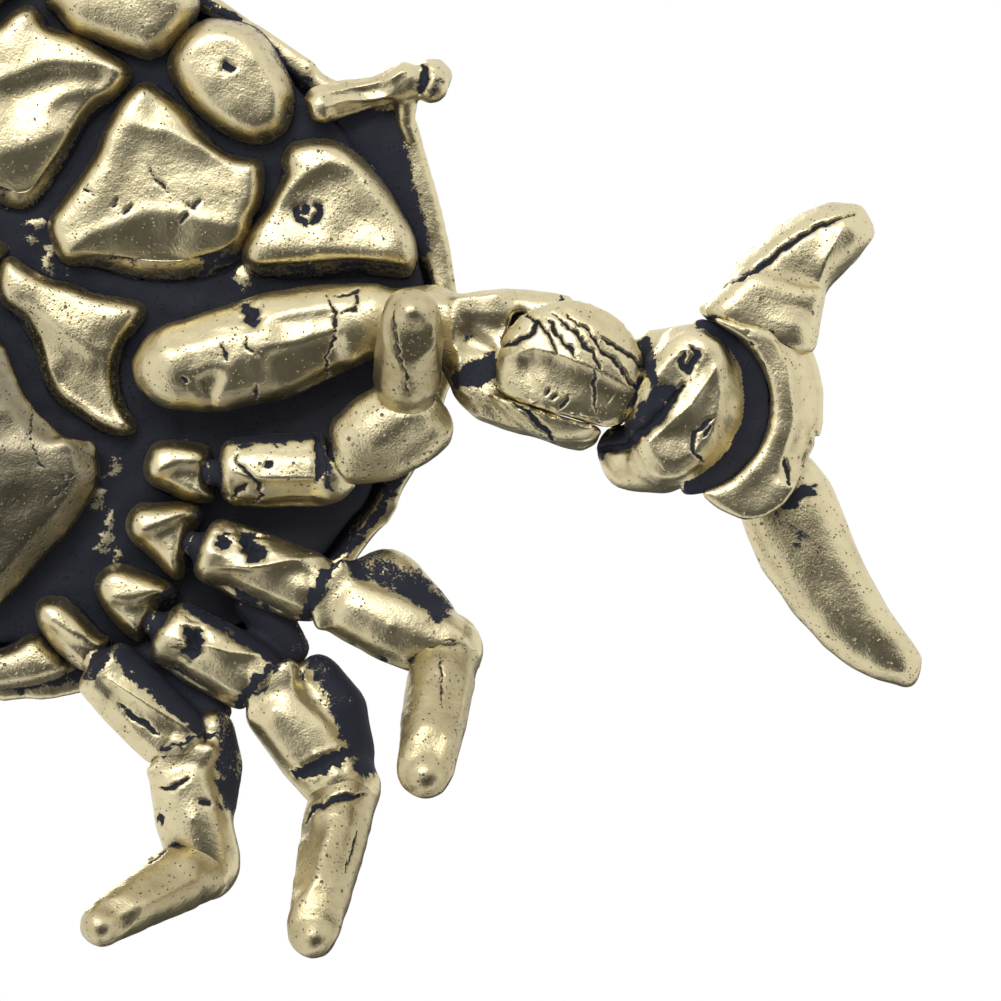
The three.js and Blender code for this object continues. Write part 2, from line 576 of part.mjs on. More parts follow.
function wristSolid() {
  const slotHalf = LINK_HALF_DEPTH + RUNNING_GAP;
  const pinPlace = [WRIST_AHEAD, 0];
  const ring = oval(WRIST_LENGTH / 2, WRIST_WIDTH / 2, OUTLINE_POINTS).map((p) => p.setX(p.x + WRIST_AHEAD));
  const slot = barAlongZ(LINK_HALF_WIDTH + RUNNING_GAP, slotHalf, pinPlace)
    .add(block([WRIST_AHEAD - LINK_HALF_WIDTH, -FAR, -slotHalf], [FAR, FAR, slotHalf]));
  return drum(ring, WRIST_DEPTH / 2)
    .subtract(knuckleBall(SEAT_GAP))
    .subtract(wristPegs(SEAT_GAP))
    .subtract(slot)
    .add(barAlongZ(AXLE_RADIUS, slotHalf + RUNNING_GAP, pinPlace));
}

// The peg that holds the fixed finger on the palm's front end, in the seat's frame.
function fingerPeg(grow) {
  const ends = [FINGER_SEAT - PEG_DEPTH - grow, FINGER_SEAT + PEG_DEPTH];
  return solidOf(limb(ends.map((end) => [end, PEG_RADIUS + grow])), place(0, FINGER_PEG_ASIDE, 0));
}

function palmSolid() {
  const slotHalf = FINGER_HALF_DEPTH + RUNNING_GAP;
  const crescent = drum(oval(PALM_RADIUS, PALM_RADIUS, 2 * OUTLINE_POINTS), PALM_DEPTH / 2)
    .subtract(barAlongZ(WRIST_BORE, FAR, [0, 0], 2 * OUTLINE_POINTS))
    .subtract(block([-FAR, -FAR, -FAR], [0, FAR, FAR]))
    .subtract(block([-FAR, PALM_REAR, -FAR], [FAR, FAR, FAR]))
    .subtract(block([FINGER_SEAT, -FAR, -FAR], [FAR, FAR, FAR], seatTurn))
    .subtract(fingerPeg(SEAT_GAP).transform(seatTurn.elements))
    .subtract(barAlongZ(FINGER_SLOT_RADIUS, slotHalf, FINGER_PIN, OUTLINE_POINTS));
  const linkLow = [0, -LINK_HALF_WIDTH, -LINK_HALF_DEPTH];
  const linkHigh = [WRIST_BORE + RUNNING_GAP, LINK_HALF_WIDTH, LINK_HALF_DEPTH];
  const link = block(linkLow, linkHigh, turned(radians(LINK_HEADING)))
    .add(barAlongZ(LINK_HALF_WIDTH, LINK_HALF_DEPTH, [0, 0]))
    .subtract(barAlongZ(AXLE_RADIUS + RUNNING_GAP, FAR, [0, 0]));
  return crescent.add(link).add(barAlongZ(AXLE_RADIUS, slotHalf + RUNNING_GAP, FINGER_PIN));
}

// Outline points are [beyond the seat, aside] in the seat's frame, as shares of the finger's length.
function fixedFingerSolid() {
  const shares = [[-0.1, -0.02], [0.31, 0.13], [0.6, 0.34], [0.8, 0.58], [0.87, 0.78], [0.8, 0.92],
    [0.66, 0.93], [0.47, 0.8], [0.34, 0.72], [0.15, 0.68], [-0.1, 0.66]];
  const points = shares.map(([beyond, aside]) => [
    FINGER_SEAT + beyond * FIXED_FINGER_LENGTH, aside * FIXED_FINGER_LENGTH]);
  return pillow(outline(points), FIXED_FINGER_HALF_DEPTH)
    .subtract(block([-FAR, -FAR, -FAR], [FINGER_SEAT + SEAT_GAP, FAR, FAR]))
    .add(fingerPeg(0))
    .transform(seatTurn.elements);
}

// Outline points are measured from the finger's pin, as shares of the finger's length.
function movingFingerSolid() {
  const shares = [[-0.184, 0.032], [-0.064, 0.192], [0.072, 0.376], [0.28, 0.536], [0.528, 0.696], [0.8, 0.76],
    [0.968, 0.744], [1, 0.648], [0.912, 0.552], [0.744, 0.424], [0.528, 0.208], [0.368, 0.008],
    [0.216, -0.152], [-0.032, -0.184]];
  const points = shares.map(([x, y]) => [x * FINGER_LENGTH, y * FINGER_LENGTH]);
  return pillow(outline(points, 20), FINGER_HALF_DEPTH)
    .subtract(barAlongZ(AXLE_RADIUS + RUNNING_GAP, FAR, [0, 0]));
}

const clawSolids = {
  arm: armSolid(),
  knuckle: knuckleSolid(),
  wrist: wristSolid(),
  palm: palmSolid(),
  fixed_finger: fixedFingerSolid(),
  moving_finger: movingFingerSolid(),
};

for (const [sideName, side] of Object.entries(SIDES)) {
  const mirror = new THREE.Matrix4().makeScale(1, side, 1);
  const addClawPiece = (parent, piece) => addMesh(
    parent, `${piece}_${sideName}`, geometryOf(clawSolids[piece].transform(mirror.elements)), 'polished');
  const elbow = new THREE.Group();
  elbow.position.set(side * elbowX, -ELBOW_FORWARD, CLAW_LINE);
  elbow.rotation.z = side > 0 ? radians(ELBOW_HEADING) : Math.PI - radians(ELBOW_HEADING);
  const wrist = new THREE.Group();
  wrist.position.x = WRIST_AHEAD;
  const fingerPin = new THREE.Group();
  fingerPin.position.set(FINGER_PIN[0], side * FINGER_PIN[1], 0);
  crab.add(elbow);
  elbow.add(wrist);
  wrist.add(fingerPin);
  addClawPiece(elbow, 'arm');
  addClawPiece(elbow, 'knuckle').userData.hinge = { axis: [0, -1, 0], range: ELBOW_RANGE };
  addClawPiece(elbow, 'wrist');
  addClawPiece(wrist, 'palm').userData.hinge = { axis: [0, 0, side], range: WRIST_RANGE };
  addClawPiece(wrist, 'fixed_finger');
  addClawPiece(fingerPin, 'moving_finger').userData.hinge = { axis: [0, 0, -side], range: FINGER_RANGE };
}

// The origin is at the ground, under the middle of the whole piece.
const bounds = new THREE.Box3().setFromObject(crab, true);
crab.position.y = -(bounds.min.y + bounds.max.y) / 2;

export default crab;
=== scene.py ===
import json
import math

import bmesh
import bpy
import numpy as np
from mathutils import Matrix, Vector
from mathutils.bvhtree import BVHTree


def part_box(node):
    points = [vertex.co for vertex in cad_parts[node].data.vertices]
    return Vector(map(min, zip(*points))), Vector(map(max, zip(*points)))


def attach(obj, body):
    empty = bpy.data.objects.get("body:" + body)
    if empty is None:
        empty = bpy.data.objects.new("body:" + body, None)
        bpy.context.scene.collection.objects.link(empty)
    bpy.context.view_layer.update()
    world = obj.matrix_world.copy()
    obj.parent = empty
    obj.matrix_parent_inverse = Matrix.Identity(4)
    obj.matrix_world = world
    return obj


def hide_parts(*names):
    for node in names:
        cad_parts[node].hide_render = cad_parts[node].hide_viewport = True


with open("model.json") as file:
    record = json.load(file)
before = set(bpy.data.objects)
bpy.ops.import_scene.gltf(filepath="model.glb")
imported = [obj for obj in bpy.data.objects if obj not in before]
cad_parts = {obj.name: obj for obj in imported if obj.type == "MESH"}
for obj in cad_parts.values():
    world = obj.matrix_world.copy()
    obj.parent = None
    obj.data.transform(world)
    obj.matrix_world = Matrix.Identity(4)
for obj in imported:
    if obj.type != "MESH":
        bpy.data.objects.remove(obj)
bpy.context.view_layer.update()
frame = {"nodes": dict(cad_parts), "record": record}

# Shell: the crab's back, one thin brass casting that is open below. It was cast with shallow furrows
# between its lobes, blackened all over and rubbed bright again on every high place.
MM = 0.001
BODY_OF = {node: body for body, nodes in frame["record"]["behaviour"]["bodies"].items() for node in nodes}
PHOTO_SCALE = 0.0605  # millimetres for each pixel of the photograph
PHOTO_TURN = math.radians(31.7)  # the crab's middle line leans this much in the photograph
PHOTO_MIDDLE = np.array([13.0, 288.9])  # pixel where the shell's middle is seen
SHADOW_REACH = 3.2  # patina and painted shade darken a face where another piece stands closer than this, in millimetres
SHADOW_RAYS = 20
RAY_START = 0.25  # rays leave this far above the skin
COARSE = 1
FAR = 9.0  # distance from a crack where there is none
WAVES = 24  # sine waves in an uneven surface
UNEVEN = 0.035  # height of the casting's uneven skin, whose bumps lie UNEVEN_SPACING apart
UNEVEN_SPACING = 2.2
PITTED = 0.32  # how readily casting pits show, unless a piece has its own measure
HOLLOW_STEPS = 28  # smoothing passes that show where the hollows are
HOLLOW_DEPTH = 0.1  # a hollow this deep holds its full patina
RUBBED = 0.4  # patina that rubbing takes from places that stand out, down to a depth of RUBBED_LIMIT
RUBBED_LIMIT = -0.6
shell_low, shell_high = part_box("shell")
SHELL_MIDDLE = np.array(((shell_low + shell_high) / 2)[:2]) / MM


def seen(*pixels):
    """Plan places, in millimetres, of pixels in the photograph of the crab's underside."""
    away = np.array(pixels, float) - PHOTO_MIDDLE
    ahead = np.array([math.sin(PHOTO_TURN), -math.cos(PHOTO_TURN)])
    aside = np.array([math.cos(PHOTO_TURN), math.sin(PHOTO_TURN)])
    return np.stack([away @ aside, -(away @ ahead)], axis=1) * PHOTO_SCALE + SHELL_MIDDLE


def whole_crab():
    """Every solid of the crab at rest as one tree for rays, in millimetres."""
    points, faces = [], []
    for node in frame["nodes"].values():
        first = len(points)
        points += [vertex.co / MM for vertex in node.data.vertices]
        faces += [[first + corner for corner in face.vertices] for face in node.data.polygons]
    return BVHTree.FromPolygons(points, faces)


def dome_of_rays(count):
    """Directions spread over a half sphere about +Z, closer together near its top."""
    steps = (np.arange(count) + 0.5) / count
    turns = np.pi * (1 + 5 ** 0.5) * np.arange(count)
    flat = np.sqrt(steps)
    return np.stack([flat * np.cos(turns), flat * np.sin(turns), np.sqrt(1 - steps)], axis=1)


def lumps(points, spacing, seed):
    """Smooth uneven heights, mostly between -1 and 1, with bumps about this many millimetres apart."""
    chance = np.random.default_rng(seed)
    waves = chance.normal(size=(WAVES, 3)) * math.pi / spacing
    starts = chance.uniform(0, 2 * math.pi, WAVES)
    return np.sin(points @ waves.T + starts).sum(axis=1) / WAVES ** 0.5


def within(points, outline):
    """True for each point that lies inside a closed outline in plan."""
    x, y = points[:, 0], points[:, 1]
    inside = np.zeros(len(points), bool)
    for (x0, y0), (x1, y1) in zip(outline, np.roll(outline, -1, axis=0)):
        if y0 != y1:
            inside ^= ((y0 > y) != (y1 > y)) & (x < x0 + (x1 - x0) * (y - y0) / (y1 - y0))
    return inside


def closed(outline):
    return np.vstack([outline, outline[:1]])


def wrap(shape, ends):
    """Spans the tightest skin round some points of a shape, without the points that it swallows."""
    bmesh.ops.convex_hull(shape, input=ends)
    loose = [vertex for vertex in ends if vertex.is_valid and not vertex.link_faces]
    bmesh.ops.delete(shape, geom=loose, context="VERTS")
    bmesh.ops.recalc_face_normals(shape, faces=shape.faces)


def slab(outline, low, high):
    """A flat block with an outline in plan, between two levels in millimetres."""
    shape = bmesh.new()
    rims = [[shape.verts.new((x * MM, y * MM, level * MM)) for x, y in outline] for level in (low, high)]
    for rim in rims:
        shape.faces.new(rim)
    for index in range(len(outline)):
        after = (index + 1) % len(outline)
        shape.faces.new((rims[0][index], rims[0][after], rims[1][after], rims[1][index]))
    bmesh.ops.recalc_face_normals(shape, faces=shape.faces)
    return shape


def sausage(places, halves, levels, half_height):
    """A soft roll through places in plan, with its half width and its level at each."""
    levels = np.broadcast_to(levels, len(places))
    shape = bmesh.new()
    for index in range(len(places) - 1):
        ends = []
        for spot in (index, index + 1):
            size = np.array([halves[spot], halves[spot], min(halves[spot], half_height)])
            points = np.array([*places[spot], levels[spot]]) + BALL * size
            ends += [shape.verts.new(point * MM) for point in points]
        wrap(shape, ends)
    return shape


def ball_points(count):
    """Points spread evenly over a ball of radius 1."""
    heights = 1 - 2 * (np.arange(count) + 0.5) / count
    turns = np.pi * (1 + 5 ** 0.5) * np.arange(count)
    flat = np.sqrt(1 - heights ** 2)
    return np.stack([flat * np.cos(turns), flat * np.sin(turns), heights], axis=1)


CRAB_TREE = whole_crab()
RAYS = dome_of_rays(SHADOW_RAYS)
BALL = ball_points(120)


class Casting:
    """A brass piece while it is worked on, with its points in millimetres in the crab's frame."""

    def __init__(self, node, skin, rounding, added=(), swell=0.0, seed=1):
        self.node = node
        self.object = bpy.data.objects.new("cast_" + node, frame["nodes"][node].data.copy())
        bpy.context.scene.collection.objects.link(self.object)
        self.join(added)
        remesh = self.object.modifiers.new("skin", "REMESH")
        remesh.mode = "VOXEL"
        remesh.voxel_size = skin * COARSE * MM
        smooth = self.object.modifiers.new("rounding", "SMOOTH")
        smooth.factor = 0.5
        smooth.iterations = rounding
        self.apply()
        self.read()
        # Patina and painted shade: darker where other pieces of the crab stand close.
        patina_and_shade = self.object.data.attributes.new("patina_and_shade", "FLOAT", "POINT")
        patina_and_shade.data.foreach_set("value", self.crowded().astype(np.float32))
        self.object.modifiers.new("finer", "SUBSURF").levels = 1
        self.apply()
        self.read()
        self.patina_and_shade = np.empty(len(self.points), np.float32)
        self.object.data.attributes["patina_and_shade"].data.foreach_get("value", self.patina_and_shade)
        self.crack = np.full(len(self.points), FAR)
        self.pitted = np.full(len(self.points), PITTED)
        self.face(-1)
        swelling = swell + UNEVEN * lumps(self.points, UNEVEN_SPACING, seed)
        self.points += self.normals * swelling[:, None]
        self.ragged = np.stack([self.wander(seed + 100), self.wander(seed + 200)], axis=1)

    def wander(self, seed):
        """How far the hand that cut a line strayed at each point, in broad and in fine waves."""
        broad = lumps(self.points, spacing=1.0, seed=seed)
        fine = lumps(self.points, spacing=0.4, seed=seed)
        return 0.07 * broad + 0.05 * fine

    def join(self, shapes):
        """Adds more metal to the piece before its skin is made."""
        whole = bmesh.new()
        whole.from_mesh(self.object.data)
        for shape in shapes:
            loose = bpy.data.meshes.new("added")
            shape.to_mesh(loose)
            shape.free()
            whole.from_mesh(loose)
            bpy.data.meshes.remove(loose)
        whole.to_mesh(self.object.data)
        whole.free()

    def apply(self):
        """Turns the modifiers into the piece's own mesh."""
        graph = bpy.context.evaluated_depsgraph_get()
        self.object.data = bpy.data.meshes.new_from_object(self.object.evaluated_get(graph))
        self.object.modifiers.clear()

    def read(self):
        vertices = self.object.data.vertices
        self.points = np.empty(3 * len(vertices), np.float32)
        self.normals = np.empty(3 * len(vertices), np.float32)
        vertices.foreach_get("co", self.points)
        vertices.foreach_get("normal", self.normals)
        self.points = self.points.reshape(-1, 3).astype(float) / MM
        self.normals = self.normals.reshape(-1, 3).astype(float)

    def renew(self):
        """Takes the normals again after a large change of shape."""
        self.object.data.vertices.foreach_set("co", (self.points * MM).astype(np.float32).ravel())
        self.object.data.update()
        self.read()
        self.face(self.side)

    def averaged(self, passes):
        """Where each point would lie after this many half steps to the middle of its neighbours."""
        edges = np.empty(2 * len(self.object.data.edges), np.int32)
        self.object.data.edges.foreach_get("vertices", edges)
        starts, ends = edges.reshape(-1, 2).T
        count = len(self.points)
        meeting = np.bincount(starts, minlength=count) + np.bincount(ends, minlength=count)
        soft = self.points.copy()
        for _ in range(passes):
            sums = []
            for axis in soft.T:
                sums.append(np.bincount(starts, axis[ends], count) + np.bincount(ends, axis[starts], count))
            soft = (soft + np.stack(sums, axis=1) / meeting[:, None]) / 2
        return soft

    def hollows(self):
        """How far each point lies below its soft surroundings, in millimetres."""
        return ((self.averaged(HOLLOW_STEPS) - self.points) * self.normals).sum(axis=1)

    def soften(self, passes):
        """Rubs the worked side soft."""
        self.points += (self.averaged(passes) - self.points) * self.worked[:, None]
        self.renew()

    def crowded(self):
        """How much of each point's outlook other pieces take up, from 0 to 1, painted as patina and shade.
        """
        up = self.normals
        helper = np.where(np.abs(up[:, 2:]) < 0.9, [[0, 0, 1]], [[1, 0, 0]])
        across = np.cross(helper, up)
        across /= np.linalg.norm(across, axis=1)[:, None]
        along = np.cross(up, across)
        starts = self.points + RAY_START * up
        taken = np.zeros(len(up))
        for x, y, z in RAYS:
            ways = x * across + y * along + z * up
            for index, (start, way) in enumerate(zip(starts, ways)):
                distance = CRAB_TREE.ray_cast(start, way, SHADOW_REACH)[3]
                if distance is not None:
                    taken[index] += 1 - distance / SHADOW_REACH
        return taken / len(RAYS)

    def face(self, side):
        """Works from above (1) or from below (-1) from here on."""
        self.side = side
        self.worked = np.clip(3 * side * self.normals[:, 2], 0, 1)

    def along(self, route, ragged=0):
        """Each point's distance from a route, its share of the way and 1 on the right, seen from below."""
        plan = self.points[:, :2] + ragged * self.ragged
        route = np.array(route, float)
        steps = np.diff(route, axis=0)
        lengths = np.hypot(steps[:, 0], steps[:, 1])
        ends = np.cumsum(lengths)
        gap = np.full(len(plan), np.inf)
        share = np.zeros(len(plan))
        side = np.zeros(len(plan))
        for start, step, length, end in zip(route, steps, lengths, ends):
            place = np.clip((plan - start) @ step / length ** 2, 0, 1)
            away = plan - start - place[:, None] * step
            distance = np.hypot(away[:, 0], away[:, 1])
            nearer = distance < gap
            gap[nearer] = distance[nearer]
            share[nearer] = (end - length * (1 - place[nearer])) / ends[-1]
            side[nearer] = np.sign(step[0] * away[nearer, 1] - step[1] * away[nearer, 0])
        return gap, share, side

    def sink(self, depth):
        self.points -= self.normals * (depth * self.worked)[:, None]

    def dome(self, outline, reach, crown):
        """Rounds a plate from its outline on the ground, steep at its edge and gently crowned inside."""
        gap = np.where(within(self.points, outline), self.along(closed(outline))[0], 0)
        rise = (1 - CROWN_SHARE) * rounded(gap / reach) + CROWN_SHARE * rounded(gap / crown)
        height = np.maximum(GROUND - self.points[:, 2], 0)
        self.points[:, 2] += height * (1 - rise)
        self.renew()
        # Patina and painted shade: part of the neighbours' stays, and the plate's edge is painted dark.
        edge = 1 - np.clip(gap / EDGE_DARK_REACH, 0, 1)
        self.patina_and_shade = np.maximum(SHADE_AND_PATINA_KEPT * self.patina_and_shade, EDGE_PATINA_AND_SHADE * edge)

    def pillow(self, outline, reach, middle):
        """Rounds both faces of a flat piece from its outline, at the middle level, to full height inside."""
        rise = rounded(self.along(closed(outline))[0] / reach)
        rise = np.where(within(self.points, outline), rise, 1)
        self.points[:, 2] += (middle - self.points[:, 2]) * (1 - rise)
        self.renew()

    def groove(self, route, width, depth):
        """A dark cut that narrows toward its ends."""
        gap, share, _ = self.along(route, 1)
        half = width / 2 * np.sqrt(np.clip(4 * share * (1 - share), 0.12, 1))
        self.sink(depth * np.exp(-((gap / (1.2 * half)) ** 2)))
        self.crack = np.minimum(self.crack, np.where(self.worked > 0.2, gap - half, FAR))

    def ridge(self, route, reach, left, right):
        """A crest along a route, with a hollow of its own depth on each side."""
        gap, share, side = self.along(route)
        depth = np.where(side > 0, right, left)
        fade = np.clip(6 * share, 0, 1) * np.clip(6 * (1 - share), 0, 1)
        self.sink(depth * fade * gap / reach * np.exp(1 - gap / reach))

    def facet(self, route, reach, depth):
        """Files the right side of a route down to a slope that ends this far from it."""
        gap, _, side = self.along(route)
        self.sink(np.where(side > 0, depth * np.clip(gap / reach, 0, 1), 0))

    def dent(self, places, size, depth, dark=1.0):
        """A dark pit with a ragged edge at each of some places in plan."""
        for place in places:
            gap = np.hypot(*(self.points[:, :2] + 1.5 * self.ragged - place).T)
            self.sink(depth * np.exp(-((gap / size) ** 2)))
            self.blot(gap, size, dark)

    def blot(self, gap, size, dark):
        mark = dark * (1 - np.clip((gap / size - 0.6) / 0.8, 0, 1)) * np.clip(3 * self.worked + 0.5, 0, 1)
        self.patina_and_shade = np.maximum(self.patina_and_shade, mark)

    # Paints a dark band along a route into the patina and painted shade.
    def darken_along(self, route, width, dark=0.8):
        self.blot(self.along(route, 2)[0], width / 2, dark)

    def settle(self, material, patina=0.4):
        """Writes the worked points back, with patina in the hollows, and fixes the piece in the crab."""
        self.renew()
        mesh = self.object.data
        hollows = self.hollows() / HOLLOW_DEPTH
        self.patina_and_shade += patina * np.clip(hollows, 0, 1) + RUBBED * np.clip(hollows, RUBBED_LIMIT, 0)
        mesh.attributes["patina_and_shade"].data.foreach_set("value", self.patina_and_shade.astype(np.float32))
        for name, values in (("crack", self.crack), ("pitted", self.pitted)):
            layer = mesh.attributes.new(name, "FLOAT", "POINT")
            layer.data.foreach_set("value", values.astype(np.float32))
        mesh.shade_smooth()
        mesh.materials.clear()
        mesh.materials.append(material)
        fix(self.object, self.node)

    def settle_pair(self, material):
        """Fixes a left piece, and the same piece turned over for the crab's right side."""
        self.settle(material)
        node = self.node.replace("_left", "_right")
        other = bpy.data.objects.new("cast_" + node, self.object.data.copy())
        bpy.context.scene.collection.objects.link(other)
        other.data.transform(Matrix.Scale(-1, 4, Vector((1, 0, 0))))
        other.data.flip_normals()
        fix(other, node)


def fix(piece, node):
    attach(piece, BODY_OF[node])
    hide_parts(node)


class Shade:
    """A value in a material's nodes. Sums and products of such values add their Math nodes."""

    def __init__(self, tree, socket=None):
        self.tree = tree
        self.socket = socket

    def feed(self, socket, value):
        if isinstance(value, Shade):
            self.tree.links.new(value.socket, socket)
        else:
            socket.default_value = value

    def node(self, kind, settings, inputs, output=0):
        made = self.tree.nodes.new(kind)
        for name, value in settings.items():
            setattr(made, name, value)
        for name, value in inputs.items():
            self.feed(made.inputs[name], value)
        return Shade(self.tree, made.outputs[output])

    def maths(self, operation, first, second):
        return self.node("ShaderNodeMath", {"operation": operation}, {0: first, 1: second})

    def __add__(self, other):
        return self.maths("ADD", self, other)

    def __radd__(self, other):
        return self.maths("ADD", other, self)

    def __sub__(self, other):
        return self.maths("SUBTRACT", self, other)

    def __rsub__(self, other):
        return self.maths("SUBTRACT", other, self)

    def __mul__(self, other):
        return self.maths("MULTIPLY", self, other)

    def __rmul__(self, other):
        return self.maths("MULTIPLY", other, self)

    def larger(self, other):
        return self.maths("MAXIMUM", self, other)

    def rise(self, low, high):
        """0 below low, 1 above high and a smooth step between."""
        return self.node("ShaderNodeMapRange", {"interpolation_type": "SMOOTHSTEP"},
                         {"Value": self, "From Min": low, "From Max": high})

    def between(self, first, second):
        """The first colour where this value is 0 and the second where it is 1."""
        return self.node("ShaderNodeMix", {"data_type": "RGBA"}, {0: self, 6: first, 7: second}, 2)


PALE_BRASS = (0.74, 0.65, 0.41, 1)
OLIVE_BRASS = (0.47, 0.40, 0.235, 1)
# Blue-black of the patina, also used for painted shade.
PATINA_AND_SHADE_COLOUR = (0.0276, 0.0297, 0.042, 1)


def aged_brass(name, olive, first_dark, all_dark, pale=PALE_BRASS, deep=OLIVE_BRASS):
    """Brass that keeps its blue-black patina in every recess, crack and casting pit, and shows painted shade
    from the same mask.
    """
    material = bpy.data.materials.new(name)
    material.use_nodes = True
    tree = material.node_tree
    shader = tree.nodes["Principled BSDF"]
    start = Shade(tree)
    place = start.node("ShaderNodeTexCoord", {}, {}, "Object")
    spot = start.node("ShaderNodeVectorMath", {"operation": "SCALE"}, {0: place, "Scale": 1 / MM})

    def noise(scale, detail):
        return start.node("ShaderNodeTexNoise", {}, {"Vector": spot, "Scale": scale, "Detail": detail})

    def cells(scale):
        return start.node("ShaderNodeTexVoronoi", {}, {"Vector": spot, "Scale": scale}, "Distance")

    def measured(attribute):
        return start.node("ShaderNodeAttribute", {"attribute_name": attribute}, {}, "Fac")

    # Patina and painted shade: blue-black where the mask is high, olive brass where it is lower.
    patina_and_shade = measured("patina_and_shade")
    crack = measured("crack")
    pitted = measured("pitted")
    cloud = noise(scale=0.35, detail=2)
    blotch = noise(scale=1.6, detail=4)
    grain = noise(scale=7, detail=3)
    fine_pits = 1 - cells(scale=3.4).rise(0.12, 0.24)
    broad_pits = 1 - cells(scale=1.5).rise(0.1, 0.2)
    where = (blotch - 0.5) * 1.6 + cloud * 0.5 + pitted
    pit = (fine_pits * where.rise(0.55, 0.75)).larger(broad_pits * where.rise(0.7, 0.85))
    speckle = (blotch - 0.5) * 0.5 + (grain - 0.5) * 0.55
    dark = (patina_and_shade + speckle).rise(first_dark, all_dark)
    line = 1 - (crack + speckle * 0.12).rise(-0.02, 0.05)
    black = dark.larger(line).larger(pit * 0.75)
    tone = (cloud * 0.7 + blotch * 0.7 - 0.7 + olive + patina_and_shade * 0.9).rise(0, 1)
    bare = tone.between(pale, deep)
    start.feed(shader.inputs["Base Color"], black.between(bare, PATINA_AND_SHADE_COLOUR))
    start.feed(shader.inputs["Metallic"], 1 - black)
    start.feed(shader.inputs["Roughness"], 0.27 + grain * 0.14 + black * 0.2)
    height = (grain - 0.5) * (0.1 + pitted * 0.4) + (blotch - 0.5) * 0.5 - pit - line
    bump = start.node("ShaderNodeBump", {}, {"Strength": 0.7, "Distance": 0.12 * MM, "Height": height})
    start.feed(shader.inputs["Normal"], bump)
    shader.inputs["Specular IOR Level"].default_value = 0.12
    return material


POLISHED = aged_brass("polished_brass", olive=0.35, first_dark=0.34, all_dark=0.5)
SHELL_PATINA = 1.4  # the furrows between the lobes are blacker than other hollows

RIM_AT_EYE = seen((403, 98), (411, 122), (419, 159), (434, 208), (444, 250), (447, 280))
RIM_HALVES = [0.5, 0.6, 0.75, 0.7, 0.6, 0.5]
RIM_LEVEL = 10.9
RIM_HALF_HEIGHT = 0.9
EYE_CORNER = seen((318, 74), (362, 76), (403, 96), (411, 122), (419, 159), (434, 208), (444, 250),
                  (420, 262), (380, 200), (330, 120))
DARK_CORNER = seen((330, 92), (396, 104), (405, 128), (413, 165), (427, 212), (436, 255), (300, 320),
                   (290, 90))
DARK_CORNER_FADE = 1.4  # the corner's darkness fades over this width, most of it inside the border
RIM_BEHIND_CLAW = seen((433, 416), (404, 466), (384, 500), (360, 534), (334, 554))
RIM_BEFORE_EYE = seen((200, -6), (228, 14), (268, 44), (306, 78))
REAR_RIM = seen((-30, 698), (0, 698), (50, 697), (92, 685))
REAR_HALVES = [0.5, 0.5, 0.5, 0.4]
DARK_REAR = seen((-30, 684), (0, 684), (50, 683), (92, 671))
REAR_CORNER = seen((-30, 702), (0, 702), (50, 701), (94, 688), (80, 655), (-30, 655))
CORNER_TOP = 12.0
CROWN_LEVEL = 14  # the shell is more pitted above this
MIRROR = np.array([-1, 1])
BOTH_SIDES = (np.array([1, 1]), MIRROR)

shell_corners = []
for turned in BOTH_SIDES:
    shell_corners.append(sausage(RIM_AT_EYE * turned, RIM_HALVES, RIM_LEVEL, RIM_HALF_HEIGHT))
    shell_corners.append(slab(EYE_CORNER * turned, low=10.5, high=CORNER_TOP))
    shell_corners.append(sausage(REAR_RIM * turned, REAR_HALVES, RIM_LEVEL, RIM_HALF_HEIGHT))
    shell_corners.append(slab(REAR_CORNER * turned, low=10.6, high=CORNER_TOP))
shell = Casting("shell", skin=0.62, rounding=4, added=shell_corners, seed=3)
# Darker down-facing corners and bands under the shell, by the eyes, behind the claws and at the rear.
for turned in BOTH_SIDES:
    corner = DARK_CORNER * turned
    border = shell.along(closed(corner))[0]
    depth = np.where(within(shell.points, corner), border, -border)
    facing_down = np.clip(-2.5 * shell.normals[:, 2] - 0.7, 0, 1)
    corner_dark = 0.9 * facing_down * np.clip(0.55 + depth / DARK_CORNER_FADE, 0, 1)
    shell.patina_and_shade = np.maximum(shell.patina_and_shade, corner_dark)
    shell.darken_along(RIM_BEHIND_CLAW * turned, width=1.0)
    shell.darken_along(RIM_BEFORE_EYE * turned, width=0.8)
    shell.darken_along(DARK_REAR * turned, width=1.2)
shell.pitted[:] = np.where(shell.points[:, 2] > CROWN_LEVEL, 0.38, PITTED)
shell.settle(POLISHED, SHELL_PATINA)

# Belly plate: the dark ground between the raised pieces, a flat brass casting pressed into the shell.
# Nothing rubs it, so its blue-black patina is whole, with brass only on the grains of some rough places.
BLACKENED = aged_brass("blackened_brass", olive=0.5, first_dark=-0.02, all_dark=0.12)
ROUGH_GROUND = [
    seen((110, 470), (98, 510), (106, 555)),
    seen((30, 225), (50, 262)),
    seen((238, 240), (236, 275)),
]
ROUGH_REACH = 1.1
GRAIN_HEIGHT = 0.08
belly = Casting("belly_plate", skin=0.8, rounding=2, seed=4)
belly.patina_and_shade[:] = 0.6
for route in ROUGH_GROUND:
    near = np.exp(-((belly.along(route)[0] / ROUGH_REACH) ** 2)) * belly.worked
    belly.patina_and_shade -= 0.45 * near
    grains = near * GRAIN_HEIGHT * (lumps(belly.points, spacing=0.5, seed=5) - 1)
    belly.points -= belly.normals * grains[:, None]
belly.sink(0.06 * lumps(belly.points, spacing=1.4, seed=5))
belly.settle(BLACKENED)

